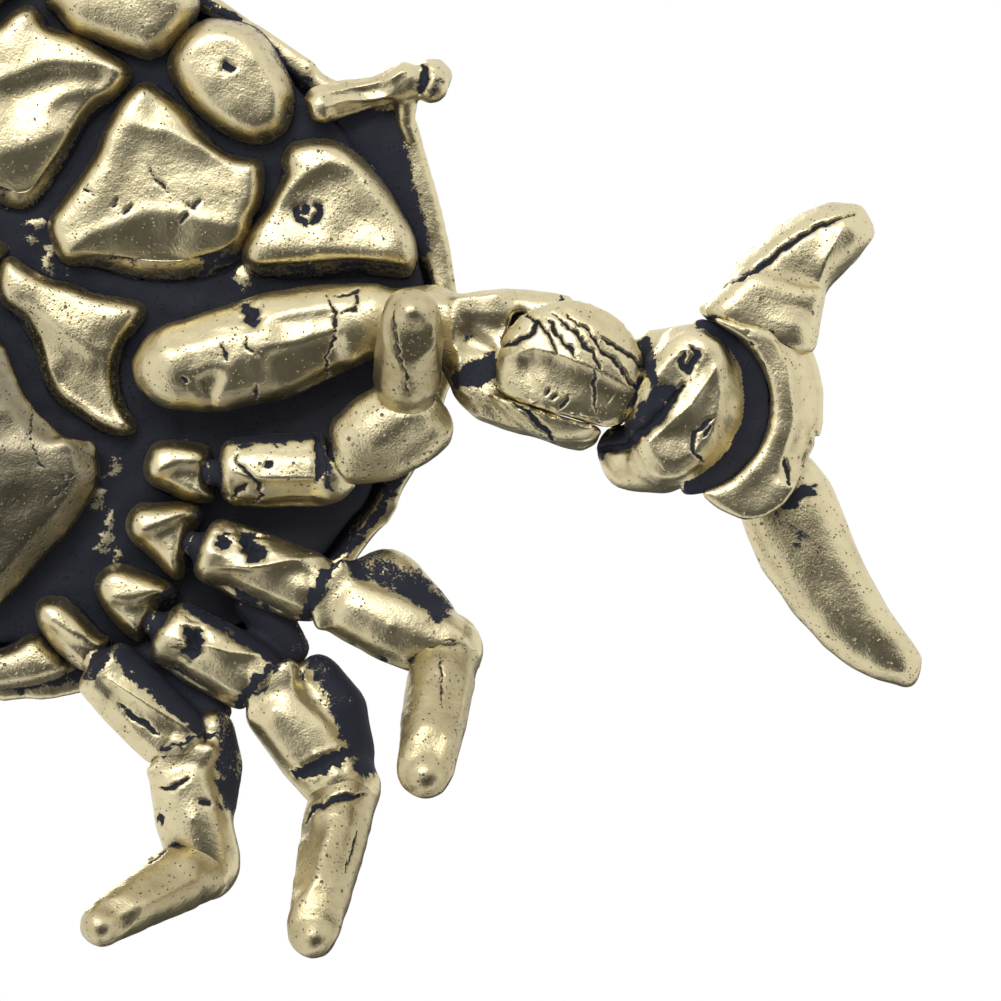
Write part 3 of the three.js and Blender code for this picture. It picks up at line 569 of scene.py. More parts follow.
# Raised plates under the belly: cast brass bosses, soldered on, each cut with a graver into a few facets
# that meet in crests. Graver cuts, cracks and pits are still full of patina.
GROUND = 10.0  # level of the belly plate's underside
CROWN_SHARE = 0.28  # part of a plate's height that it gains by its gentle crown
EDGE_PATINA_AND_SHADE = 0.63  # patina and painted shade at a plate's edge, fading to none inside it over the reach below
EDGE_DARK_REACH = 1.2
SHADE_AND_PATINA_KEPT = 0.6  # share of the patina and painted shade from neighbouring pieces that stays on a plate
PLATE_TOP = 10.3  # the plates' backs are sunk this high into the belly plate
PLATE_CROWN = 2.6  # a plate's gentle crown ends this far inside its edge
PLATE_EDGE = 0.6
CUT = (0.14, 0.12)  # width and depth of a fine graver cut
CUTS_RUBBED = 12  # rubbing passes after the facets are cut
LOOP_STEPS = 5  # points on an outline between two of its pixels


def smooth_loop(*pixels, grow=0.4):
    """A smooth outline in millimetres through pixels of the photograph, let out by a little."""
    corners = seen(*pixels)
    before, after, later = (np.roll(corners, shift, axis=0) for shift in (1, -1, -2))
    rows = []
    for share in np.arange(LOOP_STEPS) / LOOP_STEPS:
        straight = 2 * corners + (after - before) * share
        bent = (2 * before - 5 * corners + 4 * after - later) * share ** 2
        twisted = (3 * corners - before - 3 * after + later) * share ** 3
        rows.append((straight + bent + twisted) / 2)
    loop = np.stack(rows, axis=1).reshape(-1, 2)
    way = np.roll(loop, -1, axis=0) - np.roll(loop, 1, axis=0)
    outward = np.stack([way[:, 1], -way[:, 0]], axis=1) / np.hypot(*way.T)[:, None]
    area = (loop[:, 0] * np.roll(loop[:, 1], -1) - loop[:, 1] * np.roll(loop[:, 0], -1)).sum()
    return loop + grow * np.sign(area) * outward


def rounded(share):
    """A quarter circle's height at a share of its radius from its foot."""
    return np.sqrt(1 - (1 - np.clip(share, 0, 1)) ** 2)


def boss(node, outline, low, edge, seed, crown=PLATE_CROWN, skin=0.28):
    """A rounded boss with an outline in plan, from its lowest level up into the belly plate."""
    made = Casting(node, skin=skin, rounding=3, added=[slab(outline, low, PLATE_TOP)], seed=seed)
    made.dome(outline, edge, crown)
    return made


mouth_outline = smooth_loop(
    (136, 86), (146, 84), (160, 93), (181, 110), (199, 133), (215, 149), (233, 158), (252, 161),
    (256, 169), (254, 196), (245, 215), (242, 237), (230, 253), (209, 265), (183, 272), (152, 273),
    (121, 268), (92, 260), (67, 258), (56, 247), (49, 222), (61, 203), (79, 178), (97, 151), (103, 133),
    (118, 106),
)
mouth_upper_crest = seen((120, 118), (149, 127), (170, 129), (192, 141), (224, 153), (262, 163))
mouth_lower_crest = seen((55, 262), (89, 232), (128, 216), (149, 209), (181, 211), (196, 218), (224, 224),
                         (255, 222))
mouth_cuts = [
    seen((147, 164), (153, 177), (168, 192)),
    seen((185, 202), (192, 207), (200, 196)),
    seen((176, 222), (186, 211)),
    seen((81, 185), (92, 196)),
    seen((111, 207), (117, 197)),
    seen((121, 213), (131, 203)),
]
mouth = boss("mouth_plate_left", mouth_outline, low=7.1, edge=PLATE_EDGE, seed=6)
mouth.ridge(mouth_upper_crest, reach=1.3, left=0.35, right=0.35)
mouth.facet(mouth_lower_crest, reach=2.8, depth=1.1)
mouth.ridge(mouth_lower_crest, reach=0.8, left=0.15, right=0)
mouth.soften(CUTS_RUBBED)
for cut in mouth_cuts:
    mouth.groove(cut, *CUT)
mouth.settle(POLISHED)

right_mouth_outline = smooth_loop(
    (-20, 40), (0, 22), (10, 12), (24, 6), (33, 14), (42, 26), (76, 37), (99, 50), (121, 66), (118, 78),
    (106, 93), (88, 108), (72, 130), (66, 145), (57, 166), (45, 188), (30, 202), (14, 204), (0, 199),
    (-20, 180), (-40, 100),
)
right_upper_crest = seen((-20, 84), (20, 72), (45, 62), (75, 61), (96, 62), (125, 68))
right_middle_crest = seen((40, 110), (57, 94), (83, 88), (112, 92))
right_lower_crest = seen((-30, 166), (0, 154), (28, 145), (72, 128))
mouth_right = boss("mouth_plate_right", right_mouth_outline, low=7.1, edge=PLATE_EDGE, seed=7)
mouth_right.ridge(right_upper_crest, reach=1.2, left=0.15, right=0.5)
mouth_right.ridge(right_middle_crest, reach=0.9, left=0.1, right=0.25)
mouth_right.facet(right_lower_crest, reach=2.6, depth=1.2)
mouth_right.soften(CUTS_RUBBED)
mouth_right.settle(POLISHED)

antenna_outline = smooth_loop(
    (214, 19), (197, 23), (182, 35), (172, 51), (170, 66), (181, 85), (197, 105), (215, 120), (233, 130),
    (254, 135), (269, 131), (282, 120), (287, 98), (284, 80), (274, 59), (262, 39), (245, 25),
)
antenna_crest = seen((205, 18), (245, 48), (266, 72), (276, 100), (268, 140))
antenna_pit = seen((227, 66))
antenna = boss("antenna_plate_left", antenna_outline, low=6.9, edge=1.3, seed=8)
antenna.ridge(antenna_crest, reach=0.9, left=0.1, right=0.2)
antenna.soften(passes=20)
antenna.dent(antenna_pit, size=0.33, depth=0.35)
antenna.pitted[:] = 0.35
antenna.settle(POLISHED)

right_antenna_outline = smooth_loop(
    (120, -40), (60, -20), (45, -4), (54, 4), (71, 24), (101, 35), (128, 45), (149, 49), (168, 35),
    (186, 12), (189, -6), (160, -34),
)
antenna_right = boss("antenna_plate_right", right_antenna_outline, low=6.9, edge=1.2, seed=14)
antenna_right.soften(passes=20)
antenna_right.pitted[:] = 0.5
antenna_right.settle(POLISHED)

cheek_outline = smooth_loop(
    (289, 146), (306, 141), (324, 140), (342, 146), (357, 158), (375, 178), (393, 206), (408, 236),
    (410, 259), (405, 270), (383, 269), (352, 266), (321, 269), (276, 270), (252, 266), (245, 251),
    (256, 226), (268, 211), (278, 190), (286, 171), (284, 159),
)
cheek_crest = seen((255, 232), (275, 199), (298, 177), (328, 160), (352, 168), (380, 205), (400, 240))
cheek_lower_crest = seen((240, 262), (275, 257), (320, 250), (365, 252), (412, 258))
cheek_pits = seen((306, 208), (314, 218), (320, 208), (303, 219), (318, 213), (297, 211))
cheek = boss("cheek_plate_left", cheek_outline, low=7.1, edge=PLATE_EDGE, seed=9)
cheek.ridge(cheek_crest, reach=1.3, left=0.2, right=0.45)
cheek.facet(cheek_lower_crest, reach=1.0, depth=0.6)
cheek.soften(CUTS_RUBBED)
cheek.pitted[:] = 0.45
cheek.dent(cheek_pits, size=0.26, depth=0.22)
cheek.settle_pair(POLISHED)

breast_outline = smooth_loop(
    (2, 260), (18, 268), (40, 280), (67, 287), (92, 296), (133, 305), (135, 315), (129, 325), (117, 340),
    (110, 361), (110, 383), (117, 407), (127, 425), (121, 430), (101, 426), (77, 411), (54, 394),
    (42, 373), (33, 343), (17, 315), (-2, 291),
)
breast_lip = seen((38, 376), (54, 392), (77, 409), (101, 424), (124, 430))
breast_crest = seen((15, 290), (60, 330), (92, 352), (118, 350))
breast = boss("breast_plate_left", breast_outline, low=7.5, edge=PLATE_EDGE, seed=10)
breast.ridge(breast_crest, reach=1.4, left=0.1, right=0.5)
breast.ridge(breast_lip, reach=0.6, left=0.4, right=0)
breast.soften(CUTS_RUBBED)
breast.pitted[:] = 0.5
breast.settle(POLISHED)

MIDDLE_SEAM = -1.75  # the left breast plate reaches this far over the crab's middle line
right_breast_outline = np.minimum(breast_outline * MIRROR, [MIDDLE_SEAM, np.inf])
breast_right = boss("breast_plate_right", right_breast_outline, low=7.5, edge=PLATE_EDGE, seed=15)
breast_right.ridge(breast_crest * MIRROR, reach=1.4, left=0.5, right=0.1)
breast_right.soften(CUTS_RUBBED)
breast_right.pitted[:] = 0.5
breast_right.settle(POLISHED)

tail_outline = smooth_loop(
    (-14, 660), (0, 655), (13, 650), (28, 641), (43, 651), (58, 669), (33, 680), (0, 685), (-14, 686),
)
tail = boss("tail_plate_left", tail_outline, low=7.9, edge=0.55, seed=11)
tail.soften(CUTS_RUBBED)
tail.pitted[:] = 0.6
tail.settle_pair(POLISHED)

# Tail flap: the broad plate folded under the crab, a smooth low dome. Its brass is painted a darker olive
# than the rest, as painted shade on the broad flat, with bright brass only along its front edge and specks
# on its rear edge.
# Darker copies of the brass colours: painted shade for the flap.
SHADED_PALE_BRASS = (0.44, 0.385, 0.26, 1)
SHADED_OLIVE_BRASS = (0.25, 0.22, 0.145, 1)
SHADED_BRASS = aged_brass("shaded_brass", olive=0.75, first_dark=0.4, all_dark=0.56, pale=SHADED_PALE_BRASS, deep=SHADED_OLIVE_BRASS)
FLAP_LINES = [
    seen((28, 410), (30, 440), (40, 465), (58, 480), (78, 474)),
    seen((46, 504), (60, 490), (74, 476)),
]
FLAP_LIP = seen((-2, 350), (15, 394), (33, 412), (61, 438), (94, 442))
FLAP_REAR = seen((95, 476), (79, 506), (50, 545), (18, 582), (0, 600))
LIP_HEIGHT = 0.3
LIP_HALF = 0.45
SPECKS_REACH = 1.2
flap = Casting("tail_flap", skin=0.4, rounding=3, seed=12)
for line in FLAP_LINES:
    for turned in BOTH_SIDES:
        flap.groove(line * turned, width=0.12, depth=0.05)
for turned in BOTH_SIDES:
    from_lip = flap.along(FLAP_LIP * turned)[0]
    flap.sink(-LIP_HEIGHT * np.exp(-((from_lip / LIP_HALF) ** 2)))
for turned in BOTH_SIDES:
    from_rear = flap.along(FLAP_REAR * turned)[0]
    flap.pitted += 0.4 * np.exp(-((from_rear / SPECKS_REACH) ** 2))
flap.settle(SHADED_BRASS)

# Eyes: tapered brass stalks with a ball at the end, each cast in one and pegged under the front of the
# shell. The neck below the ball was never rubbed, so it stays black.
EYE_STALK = seen((318, 97), (345, 90), (375, 88), (402, 78))
EYE_BALL = seen((430, 74), (431, 82))
EYE_WEB = seen((402, 78), (404, 98), (404, 118), (410, 134))
EYE_LEVEL = 9.2
eye_stalk = sausage(EYE_STALK, halves=[0.95, 0.85, 0.95, 1.2], levels=EYE_LEVEL, half_height=1.2)
eye_ball = sausage(EYE_BALL, halves=[1.05, 1.1], levels=EYE_LEVEL, half_height=1.3)
eye_web = sausage(EYE_WEB, halves=[1.1, 0.75, 0.6, 0.6], levels=[10.0, 10.0, 10.3, 10.6], half_height=0.9)
eye_crests = [
    seen((315, 90), (350, 83), (390, 76), (408, 64)),
    seen((322, 106), (345, 98), (372, 97), (395, 92)),
]
eye_neck = seen((421, 60), (424, 74), (418, 90))
eye_shadow = seen((430, 92), (437, 82))
eye = Casting("eye_left", skin=0.2, rounding=4, added=[eye_stalk, eye_ball, eye_web], seed=13)
for crest in eye_crests:
    eye.ridge(crest, reach=0.45, left=0.15, right=0.22)
eye.groove(eye_neck, width=0.5, depth=0.3)
eye.darken_along(eye_shadow, width=0.6, dark=0.6)
eye.settle_pair(POLISHED)

# Legs: four cast brass segments each. The hip boss is soldered to the belly plate and the upper segment is
# pegged to it. The middle segment and the tip turn on barrel hinges. Cuts and cracks differ from leg to leg.
coxa_outlines = {
    1: smooth_loop((146, 467), (153, 449), (167, 445), (188, 447), (203, 453),
                   (204, 482), (206, 497), (184, 496), (153, 481)),
    2: smooth_loop((128, 523), (136, 510), (152, 508), (193, 510), (187, 536),
                   (177, 571), (171, 573), (148, 552), (132, 536)),
    3: smooth_loop((97, 584), (105, 573), (121, 571), (167, 590), (158, 603),
                   (140, 634), (130, 634), (112, 618), (100, 597)),
    4: smooth_loop((38, 606), (54, 603), (66, 609), (94, 639), (102, 645),
                   (86, 666), (72, 662), (52, 645), (41, 627)),
}
coxa_crests = {
    1: seen((146, 480), (176, 463), (212, 464)),
    2: seen((128, 540), (160, 524), (198, 506)),
    3: seen((100, 600), (135, 599), (172, 588)),
    4: seen((40, 618), (70, 634), (108, 644)),
}
# Where each upper segment is pegged to its hip boss, painted dark as patina and shade in the joint.
peg_places = {
    1: seen((212, 438), (216, 508)),
    2: seen((203, 512), (184, 580)),
    3: seen((174, 588), (142, 648)),
    4: seen((112, 640), (90, 678)),
}
for number, outline in coxa_outlines.items():
    coxa = boss(f"coxa_{number}_left", outline, low=6.0, edge=0.5, seed=20 + number, crown=1.5, skin=0.26)
    coxa.ridge(coxa_crests[number], reach=0.8, left=0.05, right=0.6)
    coxa.soften(CUTS_RUBBED)
    coxa.darken_along(peg_places[number], width=0.9)
    coxa.settle_pair(POLISHED)

crooked_crack = seen((237, 453), (235, 463), (250, 473), (260, 491), (263, 502), (255, 507))
short_nick = seen((231, 501), (246, 488))
knee_crack = seen((317, 436), (319, 450), (322, 463), (317, 482))
merus_1_pit = seen((268, 462))
merus_1_shadow = seen((222, 436), (270, 434), (330, 430))
merus_1_crest = seen((216, 470), (262, 478), (330, 478))
merus_1 = Casting("merus_1_left", skin=0.28, rounding=8, swell=0.05, seed=31)
merus_1.groove(crooked_crack, width=0.2, depth=0.2)
merus_1.groove(short_nick, width=0.34, depth=0.2)
merus_1.groove(knee_crack, width=0.6, depth=0.3)
merus_1.dent(merus_1_pit, size=0.2, depth=0.15)
merus_1.darken_along(merus_1_shadow, width=1.3)
merus_1.ridge(merus_1_crest, reach=1.1, left=0.1, right=0.4)

merus_2_pit = seen((224, 540))
merus_2_notch = seen((248, 536), (250, 545), (254, 556), (258, 548))
merus_2_crest = seen((205, 566), (250, 568), (290, 560), (330, 556))
merus_2_shadow = seen((235, 603), (252, 611), (266, 622))
merus_2 = Casting("merus_2_left", skin=0.28, rounding=8, swell=0.05, seed=32)
merus_2.dent(merus_2_pit, size=0.5, depth=0.4)
merus_2.dent(merus_2_notch, size=0.55, depth=0.35)
merus_2.ridge(merus_2_crest, reach=1.2, left=0.15, right=0.5)
merus_2.darken_along(merus_2_shadow, width=1.6)

WEB_LEVEL = 8.7  # the web between two legs, painted dark as patina and shade, lies above their middles
WEB_HALF_HEIGHT = 0.9
WEB_LOW = 7.7
WEB_PATINA_AND_SHADE = 0.8


def darken_web(merus):
    """Paints all of the web dark, as patina and painted shade, except where it faces up."""
    on_web = (merus.points[:, 2] > WEB_LOW) & (merus.normals[:, 2] < 0.5)
    merus.patina_and_shade = np.where(on_web, WEB_PATINA_AND_SHADE, merus.patina_and_shade)


web_3_line = seen((250, 606), (278, 632), (292, 650))
web_3 = sausage(web_3_line, halves=[1.1, 1.3, 1.0], levels=WEB_LEVEL, half_height=WEB_HALF_HEIGHT)
web_3_shadow = seen((245, 600), (282, 622), (312, 644))
merus_3_notch = seen((195, 632), (192, 642), (190, 652), (197, 640))
merus_3_crest = seen((155, 645), (205, 645), (230, 652), (270, 655))
merus_3_shadow = seen((190, 606), (240, 630), (282, 664))
merus_3 = Casting("merus_3_left", skin=0.28, rounding=8, added=[web_3], swell=0.05, seed=33)
merus_3.darken_along(web_3_shadow, width=2.8)
darken_web(merus_3)
merus_3.dent(merus_3_notch, size=0.55, depth=0.4)
merus_3.ridge(merus_3_crest, reach=1.2, left=0.15, right=0.5)
merus_3.darken_along(merus_3_shadow, width=1.2)

web_4_line = seen((150, 654), (185, 682), (212, 712))
web_4 = sausage(web_4_line, halves=[1.0, 1.3, 1.1], levels=WEB_LEVEL, half_height=WEB_HALF_HEIGHT)
web_4_shadow = seen((160, 650), (198, 684), (222, 716))
merus_4_crest = seen((100, 674), (130, 692), (152, 706), (196, 733))
merus_4_cut = seen((120, 704), (140, 720), (160, 734))
merus_4_shadow = seen((128, 650), (165, 685), (203, 722))
merus_4 = Casting("merus_4_left", skin=0.28, rounding=8, added=[web_4], swell=0.05, seed=34)
merus_4.darken_along(web_4_shadow, width=2.2)
darken_web(merus_4)
merus_4.ridge(merus_4_crest, reach=0.9, left=0.15, right=0.45)
merus_4.groove(merus_4_cut, width=0.32, depth=0.15)
merus_4.darken_along(merus_4_shadow, width=2.2)
# Dark bands where the upper and middle segments meet, and their widths: patina and painted shade in the
# joint.
knee_seams = {
    1: (seen((320, 436), (326, 462), (330, 486)), 0.6),
    2: (seen((342, 556), (322, 582), (310, 606), (302, 626)), 0.8),
    3: (seen((297, 644), (267, 671), (240, 704)), 0.85),
    4: (seen((212, 736), (188, 742), (164, 750)), 0.4),
}
for number, merus in enumerate([merus_1, merus_2, merus_3, merus_4], start=1):
    merus.darken_along(*knee_seams[number])
    merus.darken_along(peg_places[number], width=1.0)
    merus.settle_pair(POLISHED)

JOINT_PLACES = {row["name"]: np.array(row["pos_m"]) / MM for row in frame["record"]["behaviour"]["joints"]}
KNEE_DISC = 2.75  # the round inner end of a middle segment fills the slot of the upper one
KNEE_LEVELS = (5.9, 9.3)
TIP_BALLS = {1: 1.8, 2: 2.15, 3: 2.15, 4: 2.15}  # half widths of the round inner ends of the tips
FOOT_HALVES = {1: 1.45, 2: 1.4, 3: 1.35, 4: 1.3}
FOOT_LEVEL = 0.2
FOOT_RISE = 0.45  # a foot curves up this much, 1 mm from its middle
FOOT_ROUND = 1.2  # reach and height of that curve
FOOT_CLEAR = 0.05
SIDE_HALF_HEIGHT = 1.7
carpus_ways = {1: (392, 430), 2: (400, 620), 3: (330, 735), 4: (195, 800)}


def knee_disc(number):
    """A sector about the knee's pin, so that it stays in its slot when the knee turns."""
    pin = JOINT_PLACES[f"knee_{number}_left"][:2]
    way = seen(carpus_ways[number])[0] - pin
    turns = math.atan2(way[1], way[0]) + np.radians(np.linspace(-60, 60, 13))
    rim = pin + KNEE_DISC * np.stack([np.cos(turns), np.sin(turns)], axis=1)
    return slab(np.vstack([rim, pin[None]]), *KNEE_LEVELS)


def foot_of(number):
    """Plan place of the middle of a tip's foot."""
    solid = frame["nodes"][f"dactyl_{number}_left"].data
    points = np.array([vertex.co for vertex in solid.vertices]) / MM
    return points[points[:, 2] < FOOT_LEVEL, :2].mean(axis=0)


def tip_cone(number):
    """A cone from the round inner end of a tip to its foot."""
    x, y, z = JOINT_PLACES[f"tip_{number}_left"]
    ball = TIP_BALLS[number]
    foot = FOOT_HALVES[number]
    return sausage([(x, y), foot_of(number)], [ball, foot], [z, foot + FOOT_CLEAR], ball)


carpus_sides = {
    1: (seen((352, 460), (384, 440), (424, 428)), [1.5, 2.5, 1.8]),
    2: (seen((356, 588), (385, 588), (430, 618)), [1.6, 2.4, 1.6]),
    3: (seen((318, 674), (338, 710), (355, 757)), [1.2, 1.7, 1.2]),
    4: (seen((212, 732), (218, 768), (220, 812)), [1.3, 1.4, 0.9]),
}
CARPUS_SIDE_LEVELS = {1: 6.8, 2: 8.1, 3: 8.1, 4: 8.1}
# Dark sides of the middle segments, with width and darkness: patina and painted shade.
carpus_darks = {
    1: (seen((360, 372), (345, 408)), 1.0, 0.5),
    2: (seen((352, 560), (385, 566), (422, 590), (438, 608)), 2.2, 0.6),
    3: (seen((308, 640), (345, 690), (365, 735), (368, 760)), 2.4, 0.8),
    4: (seen((228, 716), (238, 755), (236, 800)), 2.2, 0.7),
}
carpus_2_pits = seen((362, 668), (372, 672), (380, 664), (352, 655))
scoop_ends = seen((296, 777), (351, 751))
SCOOP_STEPS = 9
scoop_crest = seen((294, 765), (320, 752), (352, 740))
carpus_4_cut = seen((159, 788), (175, 786), (189, 777))
carpus_4_pits = seen((159, 820), (207, 802))
for number in range(1, 5):
    added = [sausage(*carpus_sides[number], CARPUS_SIDE_LEVELS[number], SIDE_HALF_HEIGHT)]
    if number > 1:
        added.append(knee_disc(number))
    carpus = Casting(f"carpus_{number}_left", skin=0.3, rounding=8, added=added, swell=0.06,
                     seed=40 + number)
    carpus.darken_along(*carpus_darks[number])
    carpus.darken_along(*knee_seams[number])
    if number == 1:
        carpus.pitted[:] = 0.8
    if number == 2:
        carpus.dent(carpus_2_pits, size=0.4, depth=0.2)
    if number == 3:
        for share in np.linspace(0, 1, SCOOP_STEPS):
            size = 0.2 + 0.4 * math.sin(math.pi * share)
            place = scoop_ends[0] + share * (scoop_ends[1] - scoop_ends[0])
            carpus.dent([place], size=size, depth=0.16)
        carpus.ridge(scoop_crest, reach=0.6, left=0.1, right=0)
    if number == 4:
        carpus.groove(carpus_4_cut, width=0.3, depth=0.2)
        carpus.dent(carpus_4_pits, size=0.3, depth=0.2)
    carpus.settle_pair(POLISHED)

dactyl_crests = {
    1: seen((424, 310), (438, 350), (442, 395)),
    2: seen((470, 660), (462, 710), (440, 765)),
    3: seen((335, 815), (322, 850), (308, 898)),
    4: seen((205, 870), (160, 892), (105, 918)),
}
dactyl_cuts = {
    1: seen((396, 312), (399, 350), (412, 400)),
    2: seen((441, 651), (443, 704)),
    3: seen((358, 830), (352, 850), (347, 871)),
    4: seen((150, 862), (163, 852), (170, 846)),
}
TIP_BRASS = aged_brass("tip_brass", olive=0.85, first_dark=0.34, all_dark=0.5)
dactyl_seams = {
    2: seen((396, 658), (423, 644), (459, 640), (480, 650)),
    3: seen((304, 822), (316, 806), (334, 797), (366, 794)),
}
for number in range(1, 5):
    dactyl = Casting(f"dactyl_{number}_left", skin=0.26, rounding=12, added=[tip_cone(number)], swell=0.06,
                     seed=50 + number)
    from_foot = np.hypot(*(dactyl.points[:, :2] - foot_of(number)).T)
    low = np.clip(1 - dactyl.points[:, 2] / FOOT_ROUND, 0, 1)
    dactyl.points[:, 2] += FOOT_RISE * low * np.minimum(from_foot, FOOT_ROUND) ** 2
    dactyl.renew()
    dactyl.ridge(dactyl_crests[number], reach=0.9, left=0.15, right=0.3)
    dactyl.soften(passes=20)
    dactyl.groove(dactyl_cuts[number], width=0.1, depth=0.12)
    if number in dactyl_seams:
        dactyl.groove(dactyl_seams[number], width=0.3, depth=0.25)
    dactyl.pitted[:] = 0.4
    dactyl.settle_pair(TIP_BRASS)

# Claws: an arm with a fork, a knuckle riveted in it, a wrist pegged to the knuckle, and a crescent palm with
# one fixed and one pinned finger. All are castings, and the knuckle is scored with deep graver cuts.
ARM_MIDDLE = 7.6  # level of the claw's middle
arm_line = seen((176, 366), (215, 361), (272, 345), (325, 329), (372, 316))
arm_roll = sausage(arm_line, halves=[2.7, 3.15, 3.35, 2.85, 2.1], levels=ARM_MIDDLE, half_height=2.35)
front_cheek_outline = seen((452, 296), (500, 291), (513, 312), (508, 332), (500, 347), (486, 356),
                           (466, 361), (452, 348))
front_cheek = slab(front_cheek_outline, low=5.6, high=9.5)
BAR_SIDES = 24
elbow = JOINT_PLACES["elbow_left"][:2]
wrist_pin = JOINT_PLACES["wrist_left"][:2]
claw_way = (wrist_pin - elbow) / np.hypot(*(wrist_pin - elbow))


def bar(start, end, radius, level):
    """A round bar that lies level between two places in plan."""
    way = (end - start) / np.hypot(*(end - start))
    across = np.array([-way[1], way[0]])
    shape = bmesh.new()
    ends = []
    for place in (start, end):
        for turn in np.linspace(0, 2 * math.pi, BAR_SIDES, endpoint=False):
            x, y = place + across * radius * math.cos(turn)
            ends.append(shape.verts.new((x * MM, y * MM, (level + radius * math.sin(turn)) * MM)))
    wrap(shape, ends)
    return shape


def on_claw(*places):
    """Plan places from distances beyond the elbow's axle and toward the crab's rear."""
    aside = np.array([-claw_way[1], claw_way[0]])
    return np.array([elbow + ahead * claw_way + rear * aside for ahead, rear in places])


prong = slab(on_claw((-3.2, 2.66), (4.4, 2.66), (4.7, 3.6), (3.2, 4.3), (-2.6, 4.2)), low=5.9, high=9.3)
knuckle_barrel = bar(*on_claw((0, -2.5), (0, 2.56)), radius=2.32, level=ARM_MIDDLE)


def cap(half_length, half_width, ahead, limits, rears, steps):
    """A domed oval cap under the claw, cut flat at its limits. Its steps are shares of it and levels."""
    shape = bmesh.new()
    ends = []
    for share, level in steps:
        for turn in np.linspace(0, 2 * math.pi, BAR_SIDES, endpoint=False):
            along = np.clip(ahead + half_length * share * math.cos(turn), *limits)
            x, y = on_claw((along, np.clip(half_width * share * math.sin(turn), *rears)))[0]
            ends.append(shape.verts.new((x * MM, y * MM, level * MM)))
    wrap(shape, ends)
    return shape


KNUCKLE_OVAL = (4.6, 4.4, 1.95)  # half length, half width and the middle's distance beyond the axle
KNUCKLE_STEPS = [(1, 5.0), (0.98, 4.7), (0.9, 4.25), (0.7, 3.7), (0.4, 3.35), (0.1, 3.2)]
PRONG_STEPS = [(0.9, 9.2), (1, 7.6), (1, 5.0), (0.98, 4.7), (0.9, 4.25), (0.7, 3.7), (0.6, 3.6)]
knuckle_cap = cap(*KNUCKLE_OVAL, limits=(-2.6, 6.6), rears=(-4.4, 2.6), steps=KNUCKLE_STEPS)
prong_cap = cap(*KNUCKLE_OVAL, limits=(-2.6, 4.85), rears=(2.68, 4.4), steps=PRONG_STEPS)
knuckle_crest = seen((495, 360), (533, 350), (554, 354), (600, 372), (645, 398))
knuckle_tongue = slab(on_claw((0, -2.4), (0, 2.56), (4.4, 2.56), (5.6, -2.4)), low=5.7, high=9.5)
throat_outline = seen((452, 346), (500, 346), (492, 402), (472, 408), (452, 395))
throat = slab(throat_outline, low=6.6, high=9.5)
throat_lip_outline = seen((456, 350), (514, 350), (503, 396), (474, 404), (458, 392))
throat_lip = slab(throat_lip_outline, low=5.35, high=5.8)
arm_cuts = [
    seen((245, 333), (247, 346), (260, 359)),
    seen((255, 384), (258, 402)),
    seen((222, 346), (230, 364)),
    seen((326, 294), (335, 315), (334, 340), (326, 358), (328, 383)),
    seen((337, 295), (359, 290), (355, 308), (341, 315)),
    seen((557, 285), (562, 297), (556, 305), (545, 309)),
]
arm_crests = [  # with the reach and depth of the hollow beside each
    (seen((189, 379), (212, 366), (230, 374)), 0.9, 0.35),
    (seen((255, 352), (300, 341), (345, 330)), 1.0, 0.45),
    (seen((265, 318), (293, 312), (345, 304)), 0.8, 0.25),
    (seen((455, 313), (506, 316), (520, 330)), 0.7, 0.3),
    (seen((453, 326), (473, 326), (506, 350)), 0.7, 0.4),
]
knuckle_cuts = [
    seen((521, 311), (536, 323), (548, 335), (556, 355)),
    seen((546, 320), (561, 340), (576, 360)),
    seen((553, 315), (573, 333), (593, 358), (603, 374)),
    seen((566, 316), (589, 335), (601, 353), (619, 368), (639, 393)),
    seen((601, 340), (622, 351), (642, 368)),
]
knuckle_nicks = [
    seen((593, 368), (594, 413)),
    seen((543, 396), (548, 389)),
    seen((550, 402), (556, 395)),
    seen((558, 411), (570, 397)),
]

prong_specks = seen((470, 405), (530, 422))
PRONG_SPECKS_REACH = 1.5
CLAW_CUT = 0.16  # width of the graver's cuts
NICK_DEPTH = 0.13
SCORE_DEPTH = 0.22
arm_pit = seen((250, 313))
arm_speck = seen((186, 380))
throat_shadow = seen((462, 378), (500, 366))
prong_seam = seen((500, 385), (510, 396), (526, 414), (541, 430), (556, 446))
arm_metal = [arm_roll, front_cheek, throat, throat_lip, prong, prong_cap]
arm = Casting("arm_left", skin=0.26, rounding=3, added=arm_metal, seed=61)
for route, reach, depth in arm_crests:
    arm.ridge(route, reach=reach, left=0.1, right=depth)
arm.soften(passes=10)
arm.dent(arm_pit, size=0.6, depth=0.5)
arm.dent(arm_speck, size=0.2, depth=0.15)
arm.darken_along(throat_shadow, width=1.6)
arm.groove(prong_seam, width=0.35, depth=0.25)
arm.ridge(knuckle_crest, reach=1.2, left=0, right=0.5)
arm.pitted += 0.35 * np.exp(-((arm.along(prong_specks)[0] / PRONG_SPECKS_REACH) ** 2))
for cut in arm_cuts + knuckle_cuts:
    arm.groove(cut, CLAW_CUT, NICK_DEPTH)
arm.settle_pair(POLISHED)

knuckle_fold = seen((500, 347), (515, 344), (530, 335), (538, 322))
knuckle_metal = [knuckle_barrel, knuckle_tongue, knuckle_cap]
knuckle = Casting("knuckle_left", skin=0.22, rounding=2, added=knuckle_metal, swell=0.02, seed=62)
knuckle.ridge(knuckle_crest, reach=1.2, left=0.05, right=0.5)
knuckle.groove(knuckle_fold, width=0.3, depth=0.25)
for cut in knuckle_cuts:
    knuckle.groove(cut, CLAW_CUT, SCORE_DEPTH)
for cut in knuckle_nicks:
    knuckle.groove(cut, CLAW_CUT, NICK_DEPTH)
knuckle.settle_pair(POLISHED)

